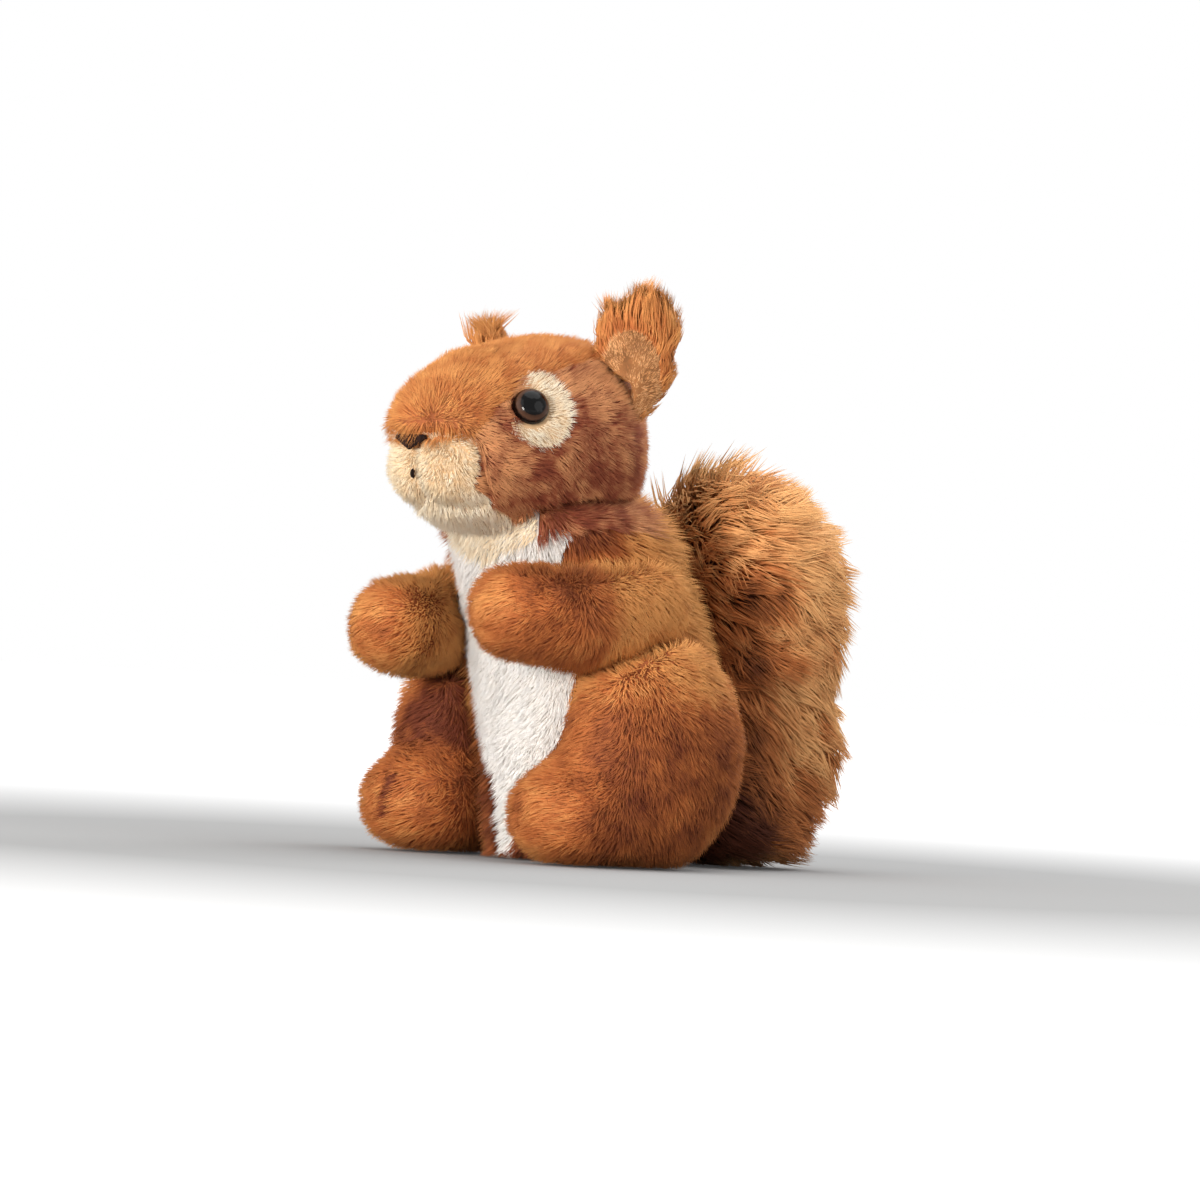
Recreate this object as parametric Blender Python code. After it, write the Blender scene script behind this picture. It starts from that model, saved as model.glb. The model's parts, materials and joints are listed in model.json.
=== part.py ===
"""Plush squirrel, sitting upright, about 19 cm tall to the tips of its ear tufts.

Metres, +Z up. It faces -Y, and its own left side is at +X. It sits on the plane Z = 0.
Every stuffed form is one closed solid that stands for the sewn plush cover and the fibre inside it, out to
the ends of the pile. The panels of other cloth are thin inlaid solids with a seam gap round them.
"""

import math
from types import SimpleNamespace

import bmesh
import bpy
from mathutils import Matrix, Vector
from mathutils.bvhtree import BVHTree

MM = 0.001

# Clearances
SEAM_GAP = 0.3 * MM  # between neighbouring pieces
PANEL_DEPTH = 2.2 * MM  # thickness of an inlaid panel of cloth with its pile

# Torso: a pear that leans forward at the neck
TORSO_HEIGHT = 124 * MM  # to the top of the neck, inside the head
TORSO_WIDTH = 86 * MM
TORSO_DEPTH = 76 * MM
NECK_WIDTH = 64 * MM
NECK_DEPTH = 70 * MM
NECK_LEAN = 28 * MM  # how far the neck is ahead of the belly
SEAT_WIDTH = 50 * MM  # the torso between the haunches, where it sits
SEAT_DEPTH = 64 * MM
BIB_WIDTH = 54 * MM  # white belly panel, at the belly
BIB_TAIL_WIDTH = 8 * MM  # the same panel between the feet
BIB_ABOVE_GROUND = 3 * MM

# Head
HEAD_LENGTH = 86 * MM
HEAD_WIDTH = 73 * MM
HEAD_HEIGHT = 70 * MM
HEAD_LIFT = 13 * MM  # the middle of the head above the top of the neck
HEAD_AHEAD = 10.5 * MM  # the middle of the head ahead of the neck
NAPE_DROP = 2 * MM
SNOUT_WIDTH = 43 * MM
SNOUT_HEIGHT = 36 * MM
SNOUT_DROP = 4.5 * MM  # the middle of the snout below the middle of the head
CROWN_PROUD = 1.8 * MM  # the crown panel stands over the cheeks at the brow seam
CROWN_WIDTH = 50 * MM
THROAT_WIDTH = 46 * MM
THROAT_BELOW_SNOUT = 11 * MM  # the top edge of the throat panel below the middle of the snout

# Face
MUZZLE_PAD_WIDTH = 22 * MM
MUZZLE_PAD_HEIGHT = 25 * MM
MUZZLE_PAD_PROUD = 0.9 * MM
MUZZLE_PAD_THICKNESS = 5 * MM
MUZZLE_PAD_DROP = 6.5 * MM  # the middle of a pad below the middle of the snout
NOSE_WIDTH = 15 * MM
NOSE_HEIGHT = 5.4 * MM
NOSE_PROUD = 0.8 * MM
NOSE_RAISE = 1.6 * MM  # the top of the nose above the middle of the snout
STITCH_LENGTH = 3.4 * MM
STITCH_THICKNESS = 2.2 * MM
STITCH_DROP = 11 * MM

# Eyes: a moulded dome on a shank, held by a washer pressed on from inside
EYE_DIAMETER = 12 * MM
EYE_DOME_HEIGHT = 4.6 * MM
EYE_SHANK_DIAMETER = 3 * MM
EYE_SHANK_LENGTH = 10 * MM
EYE_WASHER_DIAMETER = 12 * MM
EYE_WASHER_THICKNESS = 1.4 * MM
EYE_WASHER_DEPTH = 5 * MM  # from the back of the dome to the washer
EYE_BACK_FROM_SNOUT = 24.5 * MM
EYE_ABOVE_SNOUT = 12.5 * MM
EYE_PATCH_LENGTH = 22 * MM
EYE_PATCH_HEIGHT = 25 * MM
EYE_PATCH_SHIFT = 3.2 * MM  # the patch reaches further behind the eye

# Ears
EAR_HEIGHT_LEFT = 54 * MM  # from its root, with its tuft
EAR_HEIGHT_RIGHT = 47 * MM
EAR_WIDTH = 27 * MM
EAR_THICKNESS = 12 * MM
EAR_SPREAD = 56 * MM  # between the middles of the two ears at the head
EAR_BEHIND_HEAD_MIDDLE = 20 * MM
EAR_ROOT_RAISE = 0.5 * MM  # the root of the ear above the middle of the head, inside it
EAR_TURN = 44  # degrees that the open side turns outward from straight ahead
EAR_LEAN_LEFT = 10  # degrees that the ear leans outward
EAR_LEAN_RIGHT = 34
EAR_LINING_WIDTH = 20 * MM
EAR_LINING_HEIGHT = 30 * MM
EAR_LINING_DEPTH = 2 * MM

# Arms
ARM_LENGTH = 64 * MM
ARM_THICKNESS = 33 * MM
SHOULDER_HEIGHT = 84 * MM
SHOULDER_INSET = 8 * MM  # the shoulder's middle inside the side of the torso
ELBOW_OUT = 5 * MM  # the middle of the arm outside the line from shoulder to paw
ELBOW_SAG = 3 * MM
PAW_SPREAD = 62 * MM
PAW_RAISE_LEFT = -4.5 * MM  # the paw's middle against the shoulder's
PAW_RAISE_RIGHT = -11 * MM

# Legs
HAUNCH_LENGTH = 64 * MM
HAUNCH_HEIGHT = 78 * MM
HAUNCH_THICKNESS = 46 * MM
HAUNCH_AHEAD = 9.5 * MM  # the middle of the haunch ahead of the torso's middle
HAUNCH_SPREAD = 90 * MM
HAUNCH_LEAN = 2 * MM  # the inner side of the thigh is this much lower
FOOT_LENGTH = 55 * MM
FOOT_WIDTH = 44 * MM
FOOT_HEIGHT = 36 * MM
FOOT_SPREAD = 73 * MM
HEEL_OUT = 4 * MM  # the heel outside and above the toes
HEEL_RAISE = 1 * MM
TOE_AHEAD = 59.5 * MM  # the front of the toes ahead of the torso's middle
SOLE_FLAT = 1.6 * MM  # how far a round underside is pressed flat

# Tail
TAIL_HEIGHT = 133 * MM
TAIL_WIDTH = 72 * MM
TAIL_DEPTH = 64 * MM
TAIL_BEHIND = 66 * MM  # the thickest part behind the torso's middle
TAIL_ROOT_BEHIND = 52 * MM
TAIL_TOP_BEHIND = 45 * MM

# How finely the forms are drawn
RINGS = 16
SIDES = 24

COLOURS = {
    "fox_brown": ((0.36, 0.13, 0.045), 0.9),
    "dark_brown": ((0.22, 0.07, 0.03), 0.9),
    "white_plush": ((0.86, 0.80, 0.73), 0.9),
    "cream_plush": ((0.78, 0.56, 0.34), 0.9),
    "tan_lining": ((0.47, 0.23, 0.09), 0.9),
    "black_gloss": ((0.01, 0.008, 0.008), 0.15),
    "white_plastic": ((0.75, 0.75, 0.73), 0.4),
    "dark_thread": ((0.03, 0.012, 0.01), 0.7),
}


def clear_scene():
    for thing in list(bpy.data.objects):
        bpy.data.objects.remove(thing, do_unlink=True)


def material(name):
    """The Principled material of that name, made on first use."""
    made = bpy.data.materials.get(name)
    if made is None:
        colour, roughness = COLOURS[name]
        made = bpy.data.materials.new(name)
        made.use_nodes = True
        shader = made.node_tree.nodes["Principled BSDF"]
        shader.inputs["Base Color"].default_value = (*colour, 1)
        shader.inputs["Roughness"].default_value = roughness
        shader.inputs["Metallic"].default_value = 0
    return made


def blend(values, t):
    """A smooth curve through evenly spaced numbers or vectors, at t from 0 to 1."""
    last = len(values) - 1
    spot = min(max(t, 0.0), 1.0) * last
    i = min(int(spot), last - 1)
    f = spot - i
    before = values[i - 1] if i > 0 else values[i] * 2 - values[i + 1]
    after = values[i + 2] if i + 2 <= last else values[i + 1] * 2 - values[i]
    return (
        values[i] * (2 * f**3 - 3 * f**2 + 1)
        + (values[i + 1] - before) * (0.5 * (f**3 - 2 * f**2 + f))
        + values[i + 1] * (3 * f**2 - 2 * f**3)
        + (after - values[i]) * (0.5 * (f**3 - f**2))
    )


def ring_places(rings, start_round, end_round):
    """Stations from 0 to 1 with how full the form is there; they crowd at a rounded end."""
    places = []
    for k in range(rings + 1):
        t = (1 - math.cos(math.pi * k / rings)) / 2
        full = 1.0
        if start_round and t < start_round:
            full = math.sqrt(max(0.0, 1 - (1 - t / start_round) ** 2))
        if end_round and t > 1 - end_round:
            full = math.sqrt(max(0.0, 1 - (1 - (1 - t) / end_round) ** 2))
        places.append((t, full))
    return places


def loft(centres, widths, heights, across, rounds=(0.3, 0.3), square=2.0, rings=RINGS, sides=SIDES, level=None):
    """Closed mesh of rings round a smooth line, square to it or to a given direction.

    An end with no rounding gets a flat cap.
    """
    mesh = bmesh.new()
    loops = []
    for t, full in ring_places(rings, *rounds):
        middle = blend(centres, t)
        before, after = blend(centres, max(t - 0.01, 0)), blend(centres, min(t + 0.01, 1))
        along = level or (after - before).normalized()
        side = (across - along * across.dot(along)).normalized()
        up = along.cross(side)
        if full < 1e-6:
            loops.append([mesh.verts.new(middle)])
            continue
        half_width = blend(widths, t) / 2 * full
        half_height = blend(heights, t) / 2 * full
        loop = []
        for j in range(sides):
            turn = 2 * math.pi * j / sides
            c, s = math.cos(turn), math.sin(turn)
            u = math.copysign(abs(c) ** (2 / square), c) * half_width
            v = math.copysign(abs(s) ** (2 / square), s) * half_height
            loop.append(mesh.verts.new(middle + side * u + up * v))
        loops.append(loop)
    for low, high in zip(loops, loops[1:]):
        for j in range(sides):
            k = (j + 1) % sides
            if len(low) == 1:
                mesh.faces.new((low[0], high[k], high[j]))
            elif len(high) == 1:
                mesh.faces.new((low[j], low[k], high[0]))
            else:
                mesh.faces.new((low[j], low[k], high[k], high[j]))
    for cap, flip in ((loops[0], True), (loops[-1], False)):
        if len(cap) > 1:
            mesh.faces.new(list(reversed(cap)) if flip else cap)
    bmesh.ops.recalc_face_normals(mesh, faces=mesh.faces)
    return mesh


def press_flat(mesh):
    """Lay a round underside flat on the ground, as the weight of the toy does."""
    for v in mesh.verts:
        v.co.z = max(v.co.z, 0.0)
    return mesh


def offset(mesh, distance):
    """A copy with every point moved out along the surface, or in where the distance is negative."""
    moved = mesh.copy()
    moved.normal_update()
    shifts = [v.normal * distance for v in moved.verts]
    for v, shift in zip(moved.verts, shifts):
        v.co += shift
    return moved


def shifted(mesh, move):
    """A copy moved as a whole."""
    moved = mesh.copy()
    for v in moved.verts:
        v.co += move
    return moved


def prism(outline, bottom, top, frame=Matrix.Identity(4)):
    """Closed extrusion of a plan outline between two levels, then placed by a frame."""
    mesh = bmesh.new()
    low = [mesh.verts.new(frame @ Vector((x, y, bottom))) for x, y in outline]
    high = [mesh.verts.new(frame @ Vector((x, y, top))) for x, y in outline]
    count = len(outline)
    for j in range(count):
        k = (j + 1) % count
        mesh.faces.new((low[j], low[k], high[k], high[j]))
    mesh.faces.new(list(reversed(low)))
    mesh.faces.new(high)
    bmesh.ops.recalc_face_normals(mesh, faces=mesh.faces)
    return mesh


def ellipse(width, height, count=22):
    return [
        (width / 2 * math.cos(2 * math.pi * k / count), height / 2 * math.sin(2 * math.pi * k / count))
        for k in range(count)
    ]


def mirrored_outline(right_side):
    """A closed outline from its right half, which runs from the low end to the high end."""
    left_side = [(-x, y) for x, y in reversed(right_side) if x > 0]
    return right_side + left_side


def turned(profile, frame, sides=18):
    """Closed solid turned round the frame's Z from (radius, height) points; both ends lie on the axis."""
    mesh = bmesh.new()
    loops = []
    for radius, height in profile:
        if radius < 1e-7:
            loops.append([mesh.verts.new(frame @ Vector((0, 0, height)))])
            continue
        loops.append(
            [
                mesh.verts.new(
                    frame
                    @ Vector(
                        (
                            radius * math.cos(2 * math.pi * j / sides),
                            radius * math.sin(2 * math.pi * j / sides),
                            height,
                        )
                    )
                )
                for j in range(sides)
            ]
        )
    for low, high in zip(loops, loops[1:]):
        for j in range(sides):
            k = (j + 1) % sides
            if len(low) == 1:
                mesh.faces.new((low[0], high[k], high[j]))
            elif len(high) == 1:
                mesh.faces.new((low[j], low[k], high[0]))
            else:
                mesh.faces.new((low[j], low[k], high[k], high[j]))
    bmesh.ops.recalc_face_normals(mesh, faces=mesh.faces)
    return mesh


def add_object(name, mesh):
    data = bpy.data.meshes.new(name)
    mesh.to_mesh(data)
    made = bpy.data.objects.new(name, data)
    bpy.context.scene.collection.objects.link(made)
    made.parent = TOY
    return made


def add_part(name, mesh, material_name):
    made = add_object(name, mesh)
    made.data.materials.append(material(material_name))
    made.data.shade_smooth()
    return made


def add_cutter(name, mesh):
    made = add_object("cut_" + name, mesh)
    made.hide_render = True
    made.display_type = "WIRE"
    return made


def combine(part, other, operation):
    step = part.modifiers.new(operation.lower() + "_" + other.name, "BOOLEAN")
    step.operation = operation
    step.solver = "EXACT"
    step.object = other


def cut(part, *cutters):
    for cutter in cutters:
        combine(part, cutter, "DIFFERENCE")


def keep_inside(part, other):
    combine(part, other, "INTERSECT")


def surface_spot(mesh, start, direction):
    """Where a ray from inside a form meets its surface, with the outward normal there."""
    tree = BVHTree.FromBMesh(mesh)
    spot, normal, _, _ = tree.ray_cast(start, direction)
    if normal.dot(direction) < 0:
        normal = -normal
    return spot, normal


def frame_at(spot, outward, upward=Vector((0, 0, 1))):
    """A frame at a spot whose Z points out of the surface and whose Y points up along it."""
    out = outward.normalized()
    up = (upward - out * upward.dot(out)).normalized()
    right = up.cross(out)
    return Matrix.Translation(spot) @ Matrix((right, up, out)).transposed().to_4x4()


X_AXIS = Vector((1, 0, 0))
Y_AXIS = Vector((0, 1, 0))
Z_AXIS = Vector((0, 0, 1))
NECK_TOP = Vector((0, -NECK_LEAN, TORSO_HEIGHT))
HEAD_MIDDLE = NECK_TOP + Vector((0, -HEAD_AHEAD, HEAD_LIFT))
SNOUT_TIP = HEAD_MIDDLE + Vector((0, -HEAD_LENGTH / 2, -SNOUT_DROP))
SIDES_OF_TOY = (("left", 1), ("right", -1))


def torso_form():
    """Rings from the flat seat up to the neck."""
    forward = (0.12, 0.08, 0.06, 0.2, 0.6, 1.0)
    last = len(forward) - 1
    centres = [Vector((0, -NECK_LEAN * f, TORSO_HEIGHT * k / last)) for k, f in enumerate(forward)]
    seat_to_belly = (0.0, 0.25, 0.75, 1.0, 1.0, 1.0)
    belly_to_neck = (0.0, 0.0, 0.0, 0.1, 0.6, 1.0)
    sizes = ((SEAT_WIDTH, TORSO_WIDTH, NECK_WIDTH), (SEAT_DEPTH, TORSO_DEPTH, NECK_DEPTH))
    widths, depths = [
        [(seat * (1 - b) + belly * b) * (1 - n) + neck * n for b, n in zip(seat_to_belly, belly_to_neck)]
        for seat, belly, neck in sizes
    ]
    return loft(centres, widths, depths, X_AXIS, rounds=(0, 0.12), square=2.15, level=Z_AXIS)


def head_form():
    """Rings from the blunt snout back to the nape; the cheeks are the widest part."""
    nape = HEAD_MIDDLE + Vector((0, HEAD_LENGTH / 2, -NAPE_DROP))
    line = (0.0, 0.2, 0.4, 0.6, 0.8, 1.0)
    rise = (0.0, -0.2, 0.1, 0.6, 1.0, 1.3)
    centres = []
    for t, r in zip(line, rise):
        centre = SNOUT_TIP.lerp(nape, t)
        centre.z = SNOUT_TIP.z + (HEAD_MIDDLE.z - SNOUT_TIP.z) * r
        centres.append(centre)
    wide = (0.0, 0.46, 0.84, 1.0, 0.93, 0.6)
    widths = [SNOUT_WIDTH * (1 - s) + HEAD_WIDTH * s for s in wide]
    tall = (0.0, 0.52, 0.9, 1.03, 0.92, 0.5)
    heights = [SNOUT_HEIGHT * (1 - s) + HEAD_HEIGHT * s for s in tall]
    return loft(centres, widths, heights, X_AXIS, rounds=(0.17, 0.3), square=2.2, rings=16, sides=22)


def arm_form(side, paw_raise):
    """Stuffed arm that reaches forward from the shoulder to a round paw."""
    shoulder = Vector((side * (TORSO_WIDTH / 2 - SHOULDER_INSET), -NECK_LEAN * 0.42, SHOULDER_HEIGHT))
    reach = ARM_LENGTH - ARM_THICKNESS / 2
    paw = Vector((side * PAW_SPREAD / 2, shoulder.y - reach, SHOULDER_HEIGHT + paw_raise))
    elbow = shoulder.lerp(paw, 0.5) + Vector((side * ELBOW_OUT, 0, -ELBOW_SAG))
    inward = Vector((-side * ELBOW_OUT / 2, 0, 0))
    start = shoulder + inward + Vector((0, ARM_THICKNESS * 0.4, ELBOW_SAG / 2))
    end = paw + inward - Vector((0, ARM_THICKNESS / 2, 0))
    centres = [start, shoulder, elbow, paw, end]
    thick = [ARM_THICKNESS * f for f in (0.95, 1.02, 1.02, 1.02, 0.95)]
    return loft(centres, thick, thick, X_AXIS, rounds=(0.2, 0.24), rings=13, sides=18)


def haunch_form(side):
    """Round thigh, drawn in rings from the torso outward."""
    middle = Vector((side * HAUNCH_SPREAD / 2, -HAUNCH_AHEAD, HAUNCH_HEIGHT / 2 - SOLE_FLAT))
    half = Vector((side * HAUNCH_THICKNESS / 2, 0, 0))
    centres = [middle - half - Vector((0, 0, HAUNCH_LEAN)), middle - half / 3, middle + half / 3, middle + half]
    lengths = [HAUNCH_LENGTH * f for f in (0.95, 1.02, 0.98, 0.86)]
    heights = [HAUNCH_HEIGHT * f for f in (0.95, 1.0, 0.98, 0.84)]
    return press_flat(loft(centres, lengths, heights, Y_AXIS, rounds=(0.35, 0.5), rings=12, sides=22))


def foot_form(side):
    """Foot that lies on the ground, from the toes back under the thigh."""
    toe = Vector((side * FOOT_SPREAD / 2, -TOE_AHEAD, FOOT_HEIGHT / 2 - SOLE_FLAT))
    heel = toe + Vector((side * HEEL_OUT, FOOT_LENGTH, HEEL_RAISE))
    centres = [toe, toe.lerp(heel, 0.5), heel]
    widths = [FOOT_WIDTH * f for f in (0.98, 1.0, 0.96)]
    heights = [FOOT_HEIGHT * f for f in (0.98, 1.04, 1.0)]
    return press_flat(loft(centres, widths, heights, X_AXIS, rounds=(0.36, 0.3), rings=11, sides=18))


def tail_form():
    """Bushy tail standing up behind the back, fullest in its upper half."""
    bulge = (0.0, 0.4, 0.8, 1.0, 0.8, 0.0)
    last = len(bulge) - 1
    centres = []
    for k, b in enumerate(bulge):
        end = TAIL_ROOT_BEHIND if k < last / 2 else TAIL_TOP_BEHIND
        height = (TAIL_HEIGHT + SOLE_FLAT) * k / last - SOLE_FLAT
        centres.append(Vector((0, end + (TAIL_BEHIND - end) * b, height)))
    widths = [TAIL_WIDTH * f for f in (0.8, 0.86, 0.93, 1.0, 1.0, 0.9)]
    depths = [TAIL_DEPTH * f for f in (0.76, 0.86, 0.95, 1.0, 1.0, 0.92)]
    form = loft(centres, widths, depths, X_AXIS, rounds=(0.08, 0.26), square=2.2, rings=17, sides=22)
    return press_flat(form)


def ear_frame(side, lean):
    """Root of the ear; Y runs up the ear and Z out of its open side."""
    root = HEAD_MIDDLE + Vector((side * EAR_SPREAD / 2, EAR_BEHIND_HEAD_MIDDLE, EAR_ROOT_RAISE))
    turn = Matrix.Rotation(side * math.radians(EAR_TURN), 4, "Z")
    tilt = Matrix.Rotation(side * math.radians(lean), 4, "Y")
    stand = Matrix.Rotation(math.radians(90), 4, "X")
    return Matrix.Translation(root) @ tilt @ turn @ stand


def ear_form(frame, height):
    """Cupped ear that ends in a pointed tuft."""
    cup = (0.1, 0.2, 0.25, 0.15, 0.2)
    last = len(cup) - 1
    centres = [frame @ Vector((0, height * k / last, -EAR_THICKNESS * c)) for k, c in enumerate(cup)]
    widths = [EAR_WIDTH * f for f in (0.72, 1.0, 1.0, 0.6, 0.2)]
    thick = [EAR_THICKNESS * f for f in (0.9, 1.0, 0.95, 0.75, 0.3)]
    across = (frame.to_3x3() @ X_AXIS).normalized()
    return loft(centres, widths, thick, across, rounds=(0.12, 0.12), rings=11, sides=14)


def make_torso_and_bib():
    """Torso with the white belly panel let into its front; returns the torso's form."""
    form = torso_form()
    top = TORSO_HEIGHT
    half = BIB_WIDTH / 2
    right_side = [
        (BIB_TAIL_WIDTH / 2, BIB_ABOVE_GROUND),
        (half * 0.3, top * 0.19),
        (half * 0.8, top * 0.34),
        (half, top * 0.5),
        (half * 0.95, top * 0.68),
        (half, top * 0.78),
        (half * 1.12, top * 0.85),
        (half * 1.12, top * 0.94),
    ]
    outline = mirrored_outline(right_side)
    # the outline is drawn in X and Z, so the prism's own Z becomes the toy's -Y
    facing = Matrix.Rotation(math.radians(90), 4, "X")
    bib_block = prism(outline, TORSO_DEPTH * 0.38, TORSO_DEPTH, facing)
    torso = add_part("torso", form, "fox_brown")
    pocket = add_cutter("bib_pocket", offset(bib_block, SEAM_GAP))
    cut(pocket, add_cutter("bib_floor", offset(form, -PANEL_DEPTH - SEAM_GAP)))
    cut(torso, pocket)
    panel = add_part("belly_panel", form, "white_plush")
    keep_inside(panel, add_cutter("bib_block", bib_block))
    cut(panel, add_cutter("bib_back", offset(form, -PANEL_DEPTH)))
    return form


def crown_outline():
    """Plan of the crown panel, from the nose back to the nape."""
    half = CROWN_WIDTH / 2
    front = SNOUT_TIP.y
    length = HEAD_LENGTH
    right_side = [
        (NOSE_WIDTH * 0.5, front - length * 0.04),
        (half * 0.66, front + length * 0.02),
        (half * 0.9, front + length * 0.12),
        (half, front + length * 0.25),
        (half * 1.04, front + length * 0.5),
        (half * 0.92, front + length * 0.75),
        (half * 0.62, front + length * 1.1),
    ]
    return mirrored_outline(right_side)


def throat_outline():
    """Plan of the throat panel, from under the snout back to the neck."""
    half = THROAT_WIDTH / 2
    front = SNOUT_TIP.y
    length = HEAD_LENGTH
    right_side = [
        (half * 0.7, front - length * 0.04),
        (half, front + length * 0.04),
        (half * 1.05, front + length * 0.22),
        (half * 0.95, front + length * 0.42),
        (half * 0.5, front + length * 0.5),
    ]
    return mirrored_outline(right_side)


def make_head(torso):
    """Head with its crown and throat panels, and the cutters that its neighbours need."""
    form = head_form()
    floor = offset(form, -PANEL_DEPTH - SEAM_GAP)
    torso_clear = add_cutter("neck_for_head", offset(torso, SEAM_GAP))
    head = add_part("head", form, "dark_brown")
    cut(head, torso_clear)
    back = add_cutter("head_panel_back", offset(form, -PANEL_DEPTH))
    pocket_floor = add_cutter("head_pocket_floor", floor)
    patch_floor = add_cutter("head_patch_floor", offset(form, -PANEL_DEPTH - 2 * SEAM_GAP))

    crown_block = prism(crown_outline(), SNOUT_TIP.z + NOSE_RAISE, HEAD_MIDDLE.z + HEAD_HEIGHT)
    crown_grown = add_cutter("crown_grown", offset(crown_block, SEAM_GAP))
    crown_pocket = add_cutter("crown_pocket", offset(crown_block, SEAM_GAP))
    cut(crown_pocket, pocket_floor)
    cut(head, crown_pocket)
    crown = add_part("crown_panel", offset(form, CROWN_PROUD), "fox_brown")
    keep_inside(crown, add_cutter("crown_block", crown_block))
    cut(crown, back)

    throat_top = SNOUT_TIP.z - THROAT_BELOW_SNOUT
    throat_block = prism(throat_outline(), NECK_TOP.z - HEAD_HEIGHT / 2, throat_top)
    throat_pocket = add_cutter("throat_pocket", offset(throat_block, SEAM_GAP))
    cut(throat_pocket, pocket_floor)
    cut(head, throat_pocket)
    throat = add_part("throat_panel", form, "cream_plush")
    keep_inside(throat, add_cutter("throat_block", throat_block))
    cut(throat, back, torso_clear)

    head_clear = add_cutter("head_clear", offset(form, SEAM_GAP))
    crown_clear = add_cutter("crown_clear", offset(form, CROWN_PROUD + SEAM_GAP))
    keep_inside(crown_clear, crown_grown)
    return SimpleNamespace(
        form=form,
        part=head,
        crown=crown,
        crown_grown=crown_grown,
        panel_back=back,
        patch_floor=patch_floor,
        clear=head_clear,
        crown_clear=crown_clear,
    )


def eye_frame(form, side):
    """Frame on the cheek whose Z is the axis of the eye."""
    inside = Vector((0, SNOUT_TIP.y + EYE_BACK_FROM_SNOUT, SNOUT_TIP.z + EYE_ABOVE_SNOUT))
    spot, normal = surface_spot(form, inside, Vector((side, 0, 0)))
    return frame_at(spot, normal)


def make_eye(head, side_name, side):
    """Patch, dome with shank, and washer, all on one axis square to the cheek."""
    frame = eye_frame(head.form, side)
    seat = frame @ Matrix.Translation((0, 0, -EYE_DOME_HEIGHT * 0.35))
    rearward = math.copysign(EYE_PATCH_SHIFT, frame[1][0])
    outline = [(x + rearward, y) for x, y in ellipse(EYE_PATCH_LENGTH, EYE_PATCH_HEIGHT)]
    block = prism(outline, -EYE_SHANK_LENGTH, EYE_SHANK_LENGTH, frame)
    cut(head.crown, add_cutter("patch_grown_" + side_name, offset(block, SEAM_GAP)))
    pocket = add_cutter("patch_pocket_" + side_name, offset(block, SEAM_GAP))
    cut(pocket, head.patch_floor)
    cut(head.part, pocket)
    patch = add_part("eye_patch_" + side_name, head.form, "cream_plush")
    keep_inside(patch, add_cutter("patch_block_" + side_name, block))
    cut(patch, head.panel_back)

    radius, shank = EYE_DIAMETER / 2, EYE_SHANK_DIAMETER / 2
    dome_rings = 5
    dome = []
    for k in range(dome_rings + 1):
        angle = math.pi / 2 * k / dome_rings
        dome.append((radius * math.cos(angle), EYE_DOME_HEIGHT * math.sin(angle)))
    dome[-1] = (0, EYE_DOME_HEIGHT)
    stem = [(0, -EYE_SHANK_LENGTH), (shank, -EYE_SHANK_LENGTH), (shank, 0)]
    add_part("eye_" + side_name, turned(stem + dome, seat), "black_gloss")

    wide = radius + SEAM_GAP
    bore = shank + SEAM_GAP
    washer_top = -EYE_WASHER_DEPTH
    washer_low = washer_top - EYE_WASHER_THICKNESS
    washer_radius = EYE_WASHER_DIAMETER / 2
    room = washer_radius + SEAM_GAP
    deep = EYE_SHANK_LENGTH + SEAM_GAP
    hole = [
        (0, -deep),
        (bore, -deep),
        (bore, washer_low - SEAM_GAP),
        (room, washer_low - SEAM_GAP),
        (room, washer_top + SEAM_GAP),
        (bore, washer_top + SEAM_GAP),
        (bore, -SEAM_GAP),
        (wide, -SEAM_GAP),
        (wide, EYE_DOME_HEIGHT * 3),
        (0, EYE_DOME_HEIGHT * 3),
    ]
    eye_hole = add_cutter("eye_hole_" + side_name, turned(hole, seat))
    cut(head.part, eye_hole)
    cut(patch, eye_hole)
    disc = [(0, washer_low), (washer_radius, washer_low), (washer_radius, washer_top), (0, washer_top)]
    washer = add_part("eye_washer_" + side_name, turned(disc, seat), "white_plastic")
    shank_hole = [(0, -2 * deep), (bore, -2 * deep), (bore, deep), (0, deep)]
    cut(washer, add_cutter("washer_hole_" + side_name, turned(shank_hole, seat)))


def pad_form(form, side):
    """Rounded pad of the muzzle, seated square on the snout."""
    inside = Vector((0, SNOUT_TIP.y + SNOUT_HEIGHT, SNOUT_TIP.z - MUZZLE_PAD_DROP))
    target = Vector((side * MUZZLE_PAD_WIDTH * 0.5, SNOUT_TIP.y, inside.z))
    spot, normal = surface_spot(form, inside, (target - inside).normalized())
    normal.z = 0
    frame = frame_at(spot, normal)
    low, high = MUZZLE_PAD_PROUD - MUZZLE_PAD_THICKNESS, MUZZLE_PAD_PROUD
    centres = [frame @ Vector((0, 0, low + (high - low) * t)) for t in (0, 0.5, 1)]
    widths = [MUZZLE_PAD_WIDTH * f for f in (1.04, 1.04, 1.0)]
    heights = [MUZZLE_PAD_HEIGHT * f for f in (1.04, 1.04, 1.0)]
    across = (frame.to_3x3() @ X_AXIS).normalized()
    return loft(centres, widths, heights, across, rounds=(0, 0.9), square=2.3, rings=8, sides=22)


def make_muzzle(head):
    """Two pads that meet at the middle of the snout, under the crown panel."""
    pads = {name: pad_form(head.form, side) for name, side in SIDES_OF_TOY}
    half = HEAD_WIDTH / 2
    square = [(-half, -half), (half, -half), (half, half), (-half, half)]
    for name, side in SIDES_OF_TOY:
        pad = add_part("muzzle_" + name, pads[name], "cream_plush")
        place = Matrix.Translation((side * (SEAM_GAP / 2 - half), SNOUT_TIP.y, SNOUT_TIP.z))
        other_side = add_cutter("muzzle_middle_" + name, prism(square, -half, half, place))
        cut(pad, other_side, head.clear, head.crown_grown)
    return pads


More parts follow.
